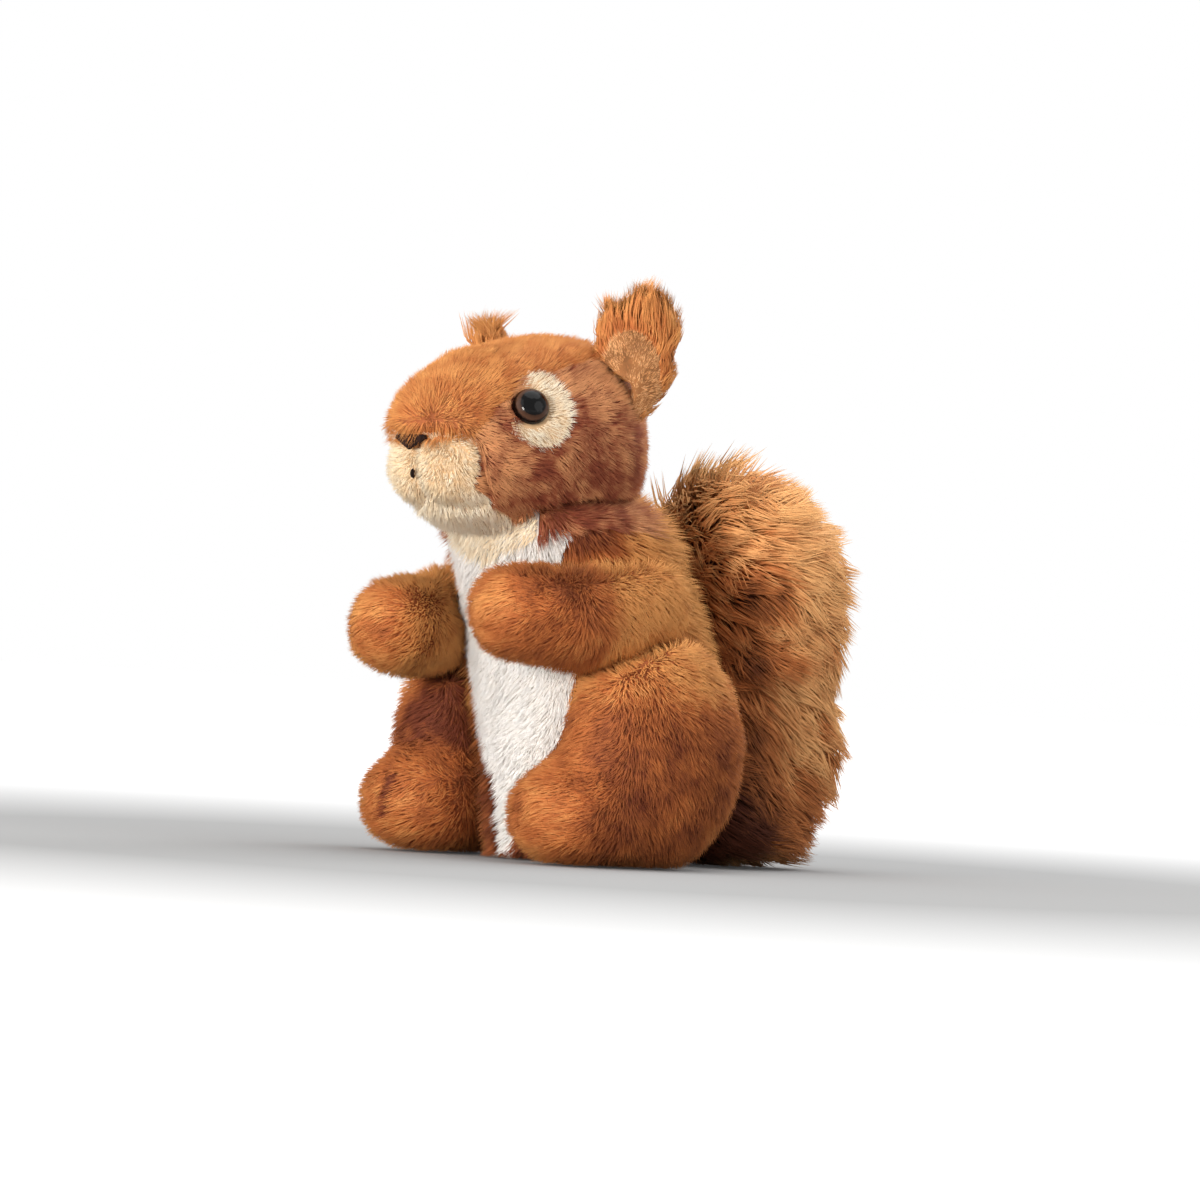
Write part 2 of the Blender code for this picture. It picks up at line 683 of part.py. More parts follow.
def make_nose(head, pads):
    """Satin-stitched nose between the crown and the pads, and the stitch of the mouth below it."""
    low, high = SNOUT_TIP.z + NOSE_RAISE - NOSE_HEIGHT, SNOUT_TIP.z + NOSE_RAISE - SEAM_GAP
    half = NOSE_WIDTH / 2
    right_side = [
        (0, low),
        (half * 0.45, low + NOSE_HEIGHT * 0.3),
        (half, high - NOSE_HEIGHT * 0.25),
        (half * 0.9, high),
    ]
    outline = mirrored_outline(right_side)
    facing = Matrix.Rotation(math.radians(90), 4, "X")
    block = prism(outline, -SNOUT_TIP.y - HEAD_LENGTH / 4, -SNOUT_TIP.y + HEAD_LENGTH / 4, facing)
    nose = add_part("nose_embroidery", offset(head.form, MUZZLE_PAD_PROUD + NOSE_PROUD), "dark_thread")
    keep_inside(nose, add_cutter("nose_block", block))
    cut(nose, head.clear)
    pad_clears = [add_cutter(name + "_pad_clear", offset(pad, SEAM_GAP)) for name, pad in pads.items()]
    cut(nose, *pad_clears)

    inside_pad = Vector((SEAM_GAP, SNOUT_TIP.y + MUZZLE_PAD_THICKNESS * 0.6, SNOUT_TIP.z - STITCH_DROP))
    spot, _ = surface_spot(pads["left"], inside_pad, -Y_AXIS)
    middle = Vector((0, spot.y, spot.z))
    centres = [middle + Z_AXIS * STITCH_LENGTH / 2 * s for s in (-1, 0, 1)]
    thick = [STITCH_THICKNESS] * 3
    stitch_form = loft(centres, thick, thick, X_AXIS, rounds=(0.4, 0.4), rings=8, sides=12)
    cut(add_part("mouth_stitch", stitch_form, "dark_thread"), *pad_clears)


def make_ear(head, side_name, side, height, lean):
    """Ear seated on the head, with a lining of paler cloth let into its open side."""
    frame = ear_frame(side, lean)
    form = ear_form(frame, height)
    outline = [(x, y + height * 0.42) for x, y in ellipse(EAR_LINING_WIDTH, EAR_LINING_HEIGHT)]
    block = prism(outline, -EAR_THICKNESS * 0.2, EAR_THICKNESS, frame)
    inward = -(frame.to_3x3() @ Z_AXIS)
    lining = add_part("ear_lining_" + side_name, form, "tan_lining")
    keep_inside(lining, add_cutter("lining_block_" + side_name, block))
    cut(lining, add_cutter("lining_back_" + side_name, shifted(form, inward * EAR_LINING_DEPTH)))
    cut(lining, head.clear, head.crown_clear)
    pocket = add_cutter("lining_pocket_" + side_name, offset(block, SEAM_GAP))
    floor = shifted(form, inward * (EAR_LINING_DEPTH + SEAM_GAP))
    cut(pocket, add_cutter("lining_floor_" + side_name, floor))
    ear = add_part("ear_" + side_name, form, "fox_brown")
    cut(ear, pocket, head.clear, head.crown_clear)


def make_limbs(torso, head):
    """Arms, legs and tail, each sewn on where it meets the torso."""
    torso_clear = add_cutter("torso_for_limbs", offset(torso, SEAM_GAP))
    clears = []
    for name, side in SIDES_OF_TOY:
        arm_mesh = arm_form(side, PAW_RAISE_LEFT if side > 0 else PAW_RAISE_RIGHT)
        arm = add_part("arm_" + name, arm_mesh, "fox_brown")
        cut(arm, torso_clear, head.clear)
        haunch_mesh, foot_mesh = haunch_form(side), foot_form(side)
        leg = add_part("leg_" + name, haunch_mesh, "fox_brown")
        combine(leg, add_cutter("foot_" + name, foot_mesh), "UNION")
        cut(leg, torso_clear, add_cutter("arm_for_leg_" + name, offset(arm_mesh, SEAM_GAP)))
        clears.append(add_cutter("haunch_for_tail_" + name, offset(haunch_mesh, SEAM_GAP)))
    tail = add_part("tail", tail_form(), "fox_brown")
    cut(tail, torso_clear, head.clear, *clears)


def centre_on_origin():
    """Move the toy so that the middle of its plan is at the origin."""
    places = []
    for part in bpy.data.objects:
        if part.type == "MESH" and not part.hide_render:
            places += [v.co.y for v in part.data.vertices]
    TOY.location.y = -(min(places) + max(places)) / 2


clear_scene()
TOY = bpy.data.objects.new("plush_squirrel", None)
bpy.context.scene.collection.objects.link(TOY)
torso_shape = make_torso_and_bib()
squirrel_head = make_head(torso_shape)
for side_of_toy, sign in SIDES_OF_TOY:
    make_eye(squirrel_head, side_of_toy, sign)
make_nose(squirrel_head, make_muzzle(squirrel_head))
make_ear(squirrel_head, "left", 1, EAR_HEIGHT_LEFT, EAR_LEAN_LEFT)
make_ear(squirrel_head, "right", -1, EAR_HEIGHT_RIGHT, EAR_LEAN_RIGHT)
make_limbs(torso_shape, squirrel_head)
centre_on_origin()
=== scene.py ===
"""Looks of the sitting plush squirrel: stuffed cloth bodies, the pile on them, the eyes and the stitching.

Metres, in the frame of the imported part: +Z up, it faces -Y, and its own left side is at +X.
Sizes written with MM are millimetres of the real toy.
"""

import json
import math

import bmesh
import bpy
import numpy as np
from mathutils import Matrix, Vector
from mathutils.bvhtree import BVHTree
from mathutils.kdtree import KDTree


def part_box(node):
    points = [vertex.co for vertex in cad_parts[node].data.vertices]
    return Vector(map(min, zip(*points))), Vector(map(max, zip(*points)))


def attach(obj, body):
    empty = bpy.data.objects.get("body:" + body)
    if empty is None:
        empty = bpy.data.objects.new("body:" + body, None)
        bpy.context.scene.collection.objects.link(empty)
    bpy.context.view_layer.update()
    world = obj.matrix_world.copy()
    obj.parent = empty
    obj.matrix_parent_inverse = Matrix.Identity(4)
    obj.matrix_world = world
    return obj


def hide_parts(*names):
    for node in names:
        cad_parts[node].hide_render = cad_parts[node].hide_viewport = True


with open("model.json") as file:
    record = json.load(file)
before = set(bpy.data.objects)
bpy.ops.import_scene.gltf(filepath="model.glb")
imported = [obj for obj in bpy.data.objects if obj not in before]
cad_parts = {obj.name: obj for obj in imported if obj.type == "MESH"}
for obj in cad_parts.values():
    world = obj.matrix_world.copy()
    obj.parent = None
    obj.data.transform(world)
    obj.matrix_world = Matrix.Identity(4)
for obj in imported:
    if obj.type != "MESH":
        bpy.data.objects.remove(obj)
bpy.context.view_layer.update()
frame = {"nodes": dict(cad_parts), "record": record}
MM = 0.001
UP = np.array((0.0, 0.0, 1.0))
SIDES = (("left", 1), ("right", -1))


# Small tools


def linear(code):
    """An sRGB hex colour as the linear RGBA that sockets take."""
    parts = [int(code[k : k + 2], 16) / 255 for k in (1, 3, 5)]
    return tuple(p / 12.92 if p <= 0.04045 else ((p + 0.055) / 1.055) ** 2.4 for p in parts) + (1.0,)


def unit(vectors):
    """Rows of an array scaled to length 1."""
    return vectors / np.maximum(np.linalg.norm(vectors, axis=-1, keepdims=True), 1e-12)


def smooth_step(low, high, value):
    t = np.clip((value - low) / (high - low), 0, 1)
    return t * t * (3 - 2 * t)


def waves(points, size, seed, count=20):
    """A smooth random field, mostly from -1 to 1, whose features are about size across."""
    draw = np.random.default_rng(seed)
    ways = unit(draw.normal(size=(count, 3))) * (2 * math.pi / size) * draw.uniform(0.4, 0.9, (count, 1))
    phases = draw.uniform(0, 2 * math.pi, count)
    return np.sin(points @ ways.T + phases).sum(axis=1) / math.sqrt(count / 2) * 0.6


def corners(mesh):
    """Vertex places and triangles of a mesh, as arrays."""
    mesh.calc_loop_triangles()
    places = np.empty(len(mesh.vertices) * 3)
    mesh.vertices.foreach_get("co", places)
    triangles = np.empty(len(mesh.loop_triangles) * 3, np.int32)
    mesh.loop_triangles.foreach_get("vertices", triangles)
    return places.reshape(-1, 3), triangles.reshape(-1, 3)


def outward(mesh):
    """Vertex normals of a mesh, as an array."""
    normals = np.empty(len(mesh.vertices) * 3, np.float32)
    mesh.vertex_normals.foreach_get("vector", normals)
    return normals.reshape(-1, 3).astype(float)


def set_places(mesh, places):
    mesh.vertices.foreach_set("co", np.asarray(places, np.float32).ravel())
    mesh.update()


def tree_of(names):
    """One search tree over several CAD nodes, with the node name of each of its triangles."""
    every_place, every_triangle, owners, start = [], [], [], 0
    for name in names:
        places, triangles = corners(frame["nodes"][name].data)
        every_place.append(places)
        every_triangle.append(triangles + start)
        owners += [name] * len(triangles)
        start += len(places)
    tree = BVHTree.FromPolygons(np.concatenate(every_place).tolist(), np.concatenate(every_triangle).tolist())
    return tree, owners


def link(name, mesh):
    made = bpy.data.objects.new(name, mesh)
    bpy.context.scene.collection.objects.link(made)
    return made


def settled(thing):
    """The mesh that an object has after its modifiers."""
    bpy.context.view_layer.update()
    return bpy.data.meshes.new_from_object(thing.evaluated_get(bpy.context.evaluated_depsgraph_get()))


def with_modifier(thing, kind, **settings):
    """Apply one modifier to an object's mesh."""
    step = thing.modifiers.new(kind.lower(), kind)
    for key, value in settings.items():
        setattr(step, key, value)
    mesh = settled(thing)
    thing.modifiers.remove(step)
    thing.data = mesh
    return thing


# Camera, lamps and stage

AIM = Vector((0, -7.2 * MM, 85.2 * MM))
AZIMUTH, ELEVATION, ROLL = math.radians(50), math.radians(-0.5), math.radians(3.4)
DISTANCE = 2.2
VIEW_WIDTH = 0.39  # metres across the picture at the toy


def camera_axes():
    """Right, up and back of the camera, with the picture's right side a little lower."""
    back = Vector(
        (
            math.sin(AZIMUTH) * math.cos(ELEVATION),
            -math.cos(AZIMUTH) * math.cos(ELEVATION),
            math.sin(ELEVATION),
        )
    )
    right = Vector((math.cos(AZIMUTH), math.sin(AZIMUTH), 0))
    up = back.cross(right)
    return (
        right * math.cos(ROLL) + up * math.sin(ROLL),
        up * math.cos(ROLL) - right * math.sin(ROLL),
        back,
    )


def make_camera():
    right, up, back = camera_axes()
    data = bpy.data.cameras.new("camera")
    data.sensor_width = 36
    data.lens = data.sensor_width * DISTANCE / VIEW_WIDTH
    data.clip_end = 50
    camera = bpy.data.objects.new("camera", data)
    turn = Matrix((right, up, back)).transposed().to_4x4()
    camera.matrix_world = Matrix.Translation(AIM + back * DISTANCE) @ turn
    bpy.context.scene.collection.objects.link(camera)
    bpy.context.scene.camera = camera


def make_lamp(name, place, size, watts, colour="#ffffff"):
    """A soft square lamp placed right, up and toward the camera from the aim, and turned to it."""
    right, _, back = camera_axes()
    data = bpy.data.lights.new(name, "AREA")
    data.shape = "DISK"
    data.size = size
    data.energy = watts
    data.color = linear(colour)[:3]
    lamp = bpy.data.objects.new(name, data)
    spot = AIM + right * place[0] + Vector((0, 0, place[1])) + back * place[2]
    lamp.matrix_world = Matrix.Translation(spot) @ (AIM - spot).to_track_quat("-Z", "Y").to_matrix().to_4x4()
    bpy.context.scene.collection.objects.link(lamp)


def add_node(tree, kind, inputs=None, stops=None, **settings):
    """Add a node with its settings; an input that is a socket is linked, and any other value is set."""
    made = tree.nodes.new("ShaderNode" + kind)
    for key, value in settings.items():
        setattr(made, key, value)
    for key, value in (inputs or {}).items():
        if isinstance(value, bpy.types.NodeSocket):
            tree.links.new(value, made.inputs[key])
        else:
            made.inputs[key].default_value = value
    if stops:
        ramp = made.color_ramp
        while len(ramp.elements) < len(stops):
            ramp.elements.new(0.5)
        for element, (place, colour) in zip(ramp.elements, stops):
            element.position = place
            element.color = linear(colour)
    return made


def new_material(name):
    """An empty material with its output node."""
    made = bpy.data.materials.new(name)
    made.use_nodes = True
    made.node_tree.nodes.clear()
    return made, made.node_tree, made.node_tree.nodes.new("ShaderNodeOutputMaterial")


def cover(tree, output, inputs):
    """Give a material its surface: one shader with these inputs."""
    shader = add_node(tree, "BsdfPrincipled", inputs)
    tree.links.new(shader.outputs[0], output.inputs["Surface"])


def seen_ray(tree):
    """1 for what the camera, a gloss or a glass sees, and 0 for the light on the object."""
    path = add_node(tree, "LightPath")
    seen = path.outputs["Is Camera Ray"]
    for ray in ("Is Glossy Ray", "Is Transmission Ray"):
        seen = add_node(tree, "Math", {0: seen, 1: path.outputs[ray]}, operation="MAXIMUM").outputs[0]
    return seen


def make_stage():
    """A white paper floor that keeps the shadow and shows a painted soft shadow round the toy, and a white
    background.
    """
    paper, tree, output = new_material("white_paper_matte")
    diffuse = add_node(tree, "BsdfDiffuse", {"Color": linear("#9e9e9e")})
    # the paper glows less near the toy, so that the toy's soft shadow stays on it; the dimmer paper there is
    # also a painted soft shadow round the toy
    place = add_node(tree, "TexCoord").outputs["Object"]
    far = add_node(tree, "VectorMath", {0: place}, operation="LENGTH").outputs["Value"]
    shades = {"From Min": 0.24, "From Max": 1.0, "To Min": 0.03, "To Max": 1.0}
    glow_with_painted_shadow = add_node(tree, "MapRange", {0: far, **shades}).outputs[0]
    glow = add_node(tree, "Emission", {"Color": linear("#ffffff"), "Strength": glow_with_painted_shadow})
    both = add_node(tree, "AddShader", {0: diffuse.outputs[0], 1: glow.outputs[0]})
    shown = add_node(tree, "MixShader", {0: seen_ray(tree), 1: diffuse.outputs[0], 2: both.outputs[0]})
    tree.links.new(shown.outputs[0], output.inputs["Surface"])
    data = bpy.data.meshes.new("floor")
    edge = 8.0
    corners = [(-edge, -edge, 0), (edge, -edge, 0), (edge, edge, 0), (-edge, edge, 0)]
    data.from_pydata(corners, [], [(0, 1, 2, 3)])
    floor = link("floor", data)
    floor.data.materials.append(paper)

    world = bpy.data.worlds.new("studio")
    bpy.context.scene.world = world
    world.use_nodes = True
    tree = world.node_tree
    tree.nodes.clear()
    spot = add_node(tree, "TexCoord")
    height = add_node(tree, "SeparateXYZ", {0: spot.outputs["Generated"]})
    # the room is dimmer below than above, and plain white where it is seen
    shades = {"From Min": -0.4, "From Max": 1.0, "To Min": 0.42, "To Max": 0.84}
    sky = add_node(tree, "MapRange", {0: height.outputs["Z"], **shades})
    bright = {"Factor": seen_ray(tree), "A": sky.outputs[0], "B": 1.0}
    strength = add_node(tree, "Mix", bright, data_type="FLOAT")
    ground = add_node(tree, "Background", {"Color": (1, 1, 1, 1), "Strength": strength.outputs[0]})
    output = tree.nodes.new("ShaderNodeOutputWorld")
    tree.links.new(ground.outputs[0], output.inputs["Surface"])
    bpy.context.scene.view_settings.view_transform = "Standard"


make_camera()
make_stage()
make_lamp("key_softbox", (-0.74, 0.16, 1.26), 0.42, 19.0, "#fffaf2")
make_lamp("front_softbox", (-1.2, 0.7, 0.75), 1.5, 7.0)
make_lamp("top_softbox", (0.2, 1.4, 0.1), 1.5, 10.0)
make_lamp("fill_softbox", (1.3, 0.5, 1.0), 1.5, 8.0)
make_lamp("back_softbox", (0.9, 0.7, -1.0), 0.9, 11.0)


# Materials


def pile_material(name, roots, middles, tips, mottle_size, mottle, sheen):
    """Extruded polyester pile: darker at the roots, a painted shade deep in the pile, paler at the tips, and
    mottled in broad patches.
    """
    made, tree, output = new_material(name)
    along = add_node(tree, "Attribute", attribute_name="along").outputs["Fac"]
    tone = add_node(tree, "Attribute", attribute_name="tone").outputs["Fac"]
    tint_and_painted_shade = add_node(tree, "Attribute", attribute_name="tint_and_painted_shade").outputs["Fac"]
    place = add_node(tree, "TexCoord").outputs["Object"]
    patches = {"Vector": place, "Scale": 1 / (mottle_size * MM), "Detail": 3.0, "Roughness": 0.6}
    broad = add_node(tree, "TexNoise", patches)
    reach = {"From Min": 0.3, "From Max": 0.7, "To Min": -mottle, "To Max": mottle}
    broad_part = add_node(tree, "MapRange", {0: broad.outputs[0], **reach}).outputs[0]
    tone_part = add_node(tree, "MapRange", {0: tone, "To Min": -0.16, "To Max": 0.16}).outputs[0]
    # the roots are darker: painted shade deep in the pile
    height = add_node(tree, "MapRange", {0: along, "To Min": 0.42, "To Max": 0.76}).outputs[0]
    total = height
    for part in (broad_part, tone_part, tint_and_painted_shade):
        total = add_node(tree, "Math", {0: total, 1: part}, operation="ADD").outputs[0]
    stops = [(0.0, roots), (0.5, middles), (1.0, tips)]
    colour = add_node(tree, "ValToRGB", {0: total}, stops=stops).outputs["Color"]
    gleam = {"Sheen Weight": sheen, "Sheen Roughness": 0.4, "Sheen Tint": linear(tips)}
    fibre = {"Roughness": 0.72, "IOR": 1.5, "Specular IOR Level": 0.22}
    cover(tree, output, {"Base Color": colour, **fibre, **gleam})
    return made


BACKING_THREAD = 0.6 * MM  # between the knitted rows


def backing_material(name, colour):
    """Warp-knitted polyester backing: a fine grid of threads, seen only where the pile parts."""
    made, tree, output = new_material(name)
    place = add_node(tree, "TexCoord").outputs["Object"]
    knit = {"Vector": place, "Scale": 1 / (BACKING_THREAD * 2 * 20), "Distortion": 2.0}
    rows = add_node(tree, "TexWave", knit, bands_direction="Z")
    bump = add_node(tree, "Bump", {"Height": rows.outputs["Fac"], "Strength": 0.4, "Distance": 0.1 * MM})
    patchy = add_node(tree, "TexNoise", {"Vector": place, "Scale": 1 / (5 * MM)})
    stops = [(0.3, darker(colour, 0.75)), (0.7, colour)]
    shade = add_node(tree, "ValToRGB", {0: patchy.outputs[0]}, stops=stops).outputs[0]
    dull = {"Roughness": 0.9, "Specular IOR Level": 0.2}
    cover(tree, output, {"Base Color": shade, **dull, "Normal": bump.outputs[0]})
    return made


def darker(code, share):
    """A hex colour with each channel scaled."""
    return "#" + "".join(f"{int(int(code[k : k + 2], 16) * share):02x}" for k in (1, 3, 5))


MATERIALS = {
    # extruded polyester pile, dyed orange brown, with painted shade at the darker roots; satin gleam at the
    # tips
    "fox_plush": pile_material("polyester_pile_fox", "#6e341f", "#bb6b38", "#e6a05c", 7, 0.18, 0.3),
    "cheek_plush": pile_material("polyester_pile_red_brown", "#5c2419", "#934c33", "#dc9a68", 6, 0.26, 0.2),
    "tail_plush": pile_material("polyester_pile_long", "#4c210f", "#b96f3c", "#f0b374", 9, 0.18, 0.3),
    "white_plush": pile_material("polyester_pile_white", "#efe8e0", "#fbf6f1", "#ffffff", 6, 0.10, 0.2),
    "cream_plush": pile_material("polyester_pile_cream", "#d8ab7c", "#f4d6ac", "#fff3dd", 4, 0.15, 0.2),
    "ear_lining": pile_material("polyester_pile_tan", "#a8683c", "#dc9a60", "#f6c48e", 5, 0.18, 0.2),
}
# each backing is darker than the middle of its pile: a painted shade between the strands
BACKINGS = {
    "fox_plush": backing_material("knitted_backing_fox", "#a5603a"),
    "cheek_plush": backing_material("knitted_backing_red_brown", "#74382a"),
    "tail_plush": backing_material("knitted_backing_long", "#6b3a20"),
    "white_plush": backing_material("knitted_backing_white", "#efe6dc"),
    "cream_plush": backing_material("knitted_backing_cream", "#dcb48a"),
    "ear_lining": backing_material("knitted_backing_tan", "#a06a40"),
}
SLOTS = {row["node"]: row["material_slot"] for row in frame["record"]["subparts"]}
# the throat and the cheeks run on a little over the top of the torso
SLOTS["neck_front"] = "cream_plush"
SLOTS["neck_side"] = "cheek_plush"


# Stuffed cloth bodies

EYE_PATCHES = ("eye_patch_left", "eye_patch_right")
PADS = ("muzzle_left", "muzzle_right")
# Each body: its CAD nodes, then in millimetres its voxel, how deep the cloth lies under the ends of the pile,
# and how far it may swell; last its share of fill
BODIES = {
    "torso": (("torso", "belly_panel"), 5.2, 2.8, 1.2, 0.8),
    "head": (("head", "crown_panel", "throat_panel", *EYE_PATCHES, *PADS), 3.0, 2.3, 0.9, 0.9),
    "arm_left": (("arm_left",), 4.8, 2.2, 1.0, 0.8),
    "arm_right": (("arm_right",), 4.8, 2.2, 1.0, 0.8),
    "leg_left": (("leg_left",), 5.2, 2.2, 1.2, 0.8),
    "leg_right": (("leg_right",), 5.2, 2.2, 1.2, 0.8),
    "tail": (("tail",), 5.5, 10.5, 2.0, 0.6),
    "ear_left": (("ear_left", "ear_lining_left"), 2.2, 1.6, 0.4, 0.3),
    "ear_right": (("ear_right", "ear_lining_right"), 2.2, 1.6, 0.4, 0.3),
}
NEIGHBOURS = {
    "torso": ("head", "arm_left", "arm_right", "leg_left", "leg_right", "tail"),
    "head": ("torso", "ear_left", "ear_right"),
    "arm_left": ("torso", "head", "leg_left"),
    "arm_right": ("torso", "head", "leg_right"),
    "leg_left": ("torso", "arm_left", "tail"),
    "leg_right": ("torso", "arm_right", "tail"),
    "tail": ("torso", "leg_left", "leg_right", "head"),
    "ear_left": ("head",),
    "ear_right": ("head",),
}
TREES = {name: tree_of(spec[0]) for name, spec in BODIES.items()}


def joined_copy(name, nodes):
    """One mesh of copies of several CAD nodes."""
    both = bmesh.new()
    for node in nodes:
        both.from_mesh(frame["nodes"][node].data)
    mesh = bpy.data.meshes.new(name)
    both.to_mesh(mesh)
    both.free()
    return link(name, mesh)


def near_neighbour(name, places, reach):
    """True for each place that lies within reach of a body that this one is sewn to."""
    near = np.zeros(len(places), bool)
    for other in NEIGHBOURS[name]:
        tree, _ = TREES[other]
        near |= np.array([tree.find_nearest(p, reach)[0] is not None for p in places.tolist()])
    return near


LINING_HALF = (8.8 * MM, 14.0 * MM)  # half width and half height of an ear's lining


def ear_axes(side_name):
    """Root, upward line and open side of an ear, from its CAD nodes."""
    ear, _ = corners(frame["nodes"]["ear_" + side_name].data)
    lining, _ = corners(frame["nodes"]["ear_lining_" + side_name].data)
    tip = ear[np.argsort(ear[:, 2])[-6:]].mean(axis=0)
    base = ear[np.argsort(ear[:, 2])[:12]].mean(axis=0)
    up = unit(tip - base)
    facing = lining.mean(axis=0) - ear.mean(axis=0)
    facing = unit(facing - up * (facing @ up))
    return base, up, facing, np.linalg.norm(tip - base)


def in_ear(side_name, places):
    """Places measured from the middle of an ear's lining: forward, up and out of its open side."""
    _, up, facing, _ = ear_axes(side_name)
    lining, _ = corners(frame["nodes"]["ear_lining_" + side_name].data)
    rel = places - lining.mean(axis=0) - np.array((0, -5.0, -4.6)) * MM
    return rel @ forward_of(side_name), rel @ up, rel @ facing


def forward_of(side_name):
    """The direction across an ear toward the front of the head."""
    _, up, facing, _ = ear_axes(side_name)
    across = np.cross(up, facing)
    return across * (1 if across[1] < 0 else -1)


def fold_of_ear(side_name, places):
    """1 along the slanting fold that is sewn into the lining, fading to 0 beside it."""
    x, y, _ = in_ear(side_name, places)
    # the fold starts near the middle and runs down toward the front of the ear
    start, run = np.array((0.3, 3.0)) * MM, unit(np.array((0.60, -0.80)))
    rel = np.stack([x, y], axis=1) - start
    ahead, aside = rel @ run, rel @ np.array((-run[1], run[0]))
    ends = smooth_step(-1.5 * MM, 0.5 * MM, ahead) * smooth_step(11.5 * MM, 9.5 * MM, ahead)
    bow = 1.2 * MM * np.sin(np.clip(ahead / (11 * MM), 0, 1) * math.pi)
    return np.exp(-(((aside + bow) / (0.95 * MM)) ** 2)) * ends


def on_lining(side_name, places, normals):
    """True on the open side of an ear, inside its rim."""
    _, _, facing, _ = ear_axes(side_name)
    x, y, _ = in_ear(side_name, places)
    return ((x / LINING_HALF[0]) ** 2 + (y / LINING_HALF[1]) ** 2 < 1) & (normals @ facing > 0.05)


def shape_ear(side_name, places):
    """Shorten the cloth to a rounded end, which the tuft covers, and hollow and fold its open side."""
    base, up, facing, height = ear_axes(side_name)
    rise = (places - base) @ up
    over = rise - height * 0.62
    places = places - np.outer(np.where(over > 0, over * 0.78, 0), up)
    # the lower part is broader toward the front, and stands a little off the head there
    x, y, _ = in_ear(side_name, places)
    low = smooth_step(13 * MM, 4 * MM, y) * smooth_step(-4 * MM, 4 * MM, x)
    out = smooth_step(3 * MM, -9 * MM, y) * smooth_step(-6 * MM, 2 * MM, x)
    outward_way = np.array((0.95 if side_name == "left" else -0.95, -0.3, 0.0))
    low += 0.8 * smooth_step(-1 * MM, -12 * MM, y)
    places = places + np.outer(5.5 * MM * low, forward_of(side_name)) + np.outer(5.5 * MM * out, outward_way)
    x, y, z = in_ear(side_name, places)
    open_side = z > -3.5 * MM
    hollow = np.clip(1 - (x / LINING_HALF[0]) ** 2 - (y / LINING_HALF[1]) ** 2, 0, 1)
    return places - np.outer((hollow * 1.8 + fold_of_ear(side_name, places) * 2.4) * open_side * MM, facing)


def from_pad(node, places):
    """How far out places lie on a muzzle pad: 0 at its middle and 1 at its rounded square edge."""
    low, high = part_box(node)
    middle, half = (low + high) / 2, (high - low) / 2
    x = np.abs(places[:, 0] - middle.x) / half.x
    z = np.abs(places[:, 2] - middle.z - 1.2 * MM) / (half.z + 1.2 * MM)
    return (x**2.8 + z**2.8) ** (1 / 2.8)


def shape_muzzle(places):
    """Round out the two muzzle pads and draw in the seam round each."""
    moved = places.copy()
    for node in PADS:
        far = from_pad(node, places)
        front = smooth_step(-66 * MM, -76 * MM, places[:, 1])
        full = np.clip(1 - far**2, 0, 1) * 0.9 * MM
        seam = np.exp(-(((far - 1.04) / 0.10) ** 2)) * 2.0 * MM
        moved[:, 1] -= (full - seam) * front
        side = 1 if node == "muzzle_left" else -1
        moved[:, 0] -= side * seam * front * 0.5 * (np.abs(places[:, 0]) > 12 * MM)
    return moved


def make_body(name):
    """The cloth of a stuffed form, inside the ends of its pile, ready to be filled."""
    nodes, voxel, inset, _, _ = BODIES[name]
    body = joined_copy(name + "_cloth", nodes)
    with_modifier(body, "REMESH", mode="VOXEL", voxel_size=voxel * MM)
    places, _ = corners(body.data)
    normals = outward(body.data)
    if name == "tail":
        # its long pile lies flatter where it faces the back and low behind, and its top is drawn in
        y, z = places[:, 1:2], places[:, 2:]
        inner = np.clip(-normals[:, 1:2], 0, 1)
        top = np.clip(normals[:, 2:], 0, 1) * smooth_step(100 * MM, 125 * MM, z)
        rear = smooth_step(56 * MM, 76 * MM, y) * smooth_step(58 * MM, 42 * MM, z)
        inset = inset - 8.0 * inner + 4.5 * top - 5.5 * rear
    if name == "head":
        # the pile lies flatter on the crown, and stands fuller over the nose
        y, z = places[:, 1:2], places[:, 2:]
        crown = np.clip(normals[:, 2:], 0, 1) * smooth_step(-72 * MM, -54 * MM, y)
        brow = smooth_step(-74 * MM, -82 * MM, y) * smooth_step(132 * MM, 136 * MM, z)
        inset = inset + 2.8 * crown - 2.0 * brow
    places = places - normals * inset * MM
    set_places(body.data, places)
    with_modifier(body, "SMOOTH", factor=0.5, iterations=6 if name == "tail" else 2)
    if name.startswith("ear"):
        set_places(body.data, shape_ear(name[4:], corners(body.data)[0]))
        with_modifier(body, "SMOOTH", factor=0.5, iterations=1)
    return body


PLUSH_CLOTH = {
    "quality": 5,
    "mass": 0.2,
    "tension_stiffness": 12,
    "compression_stiffness": 12,
    "bending_stiffness": 0.6,
    "vertex_group_mass": "sewn",
    "use_pressure": True,
    "uniform_pressure_force": 4,
}
FILL_FRAMES = 20  # how long the fill presses
SEWN_REACH = 1.5  # a cloth is held where a neighbour is this much nearer than the ends of its pile


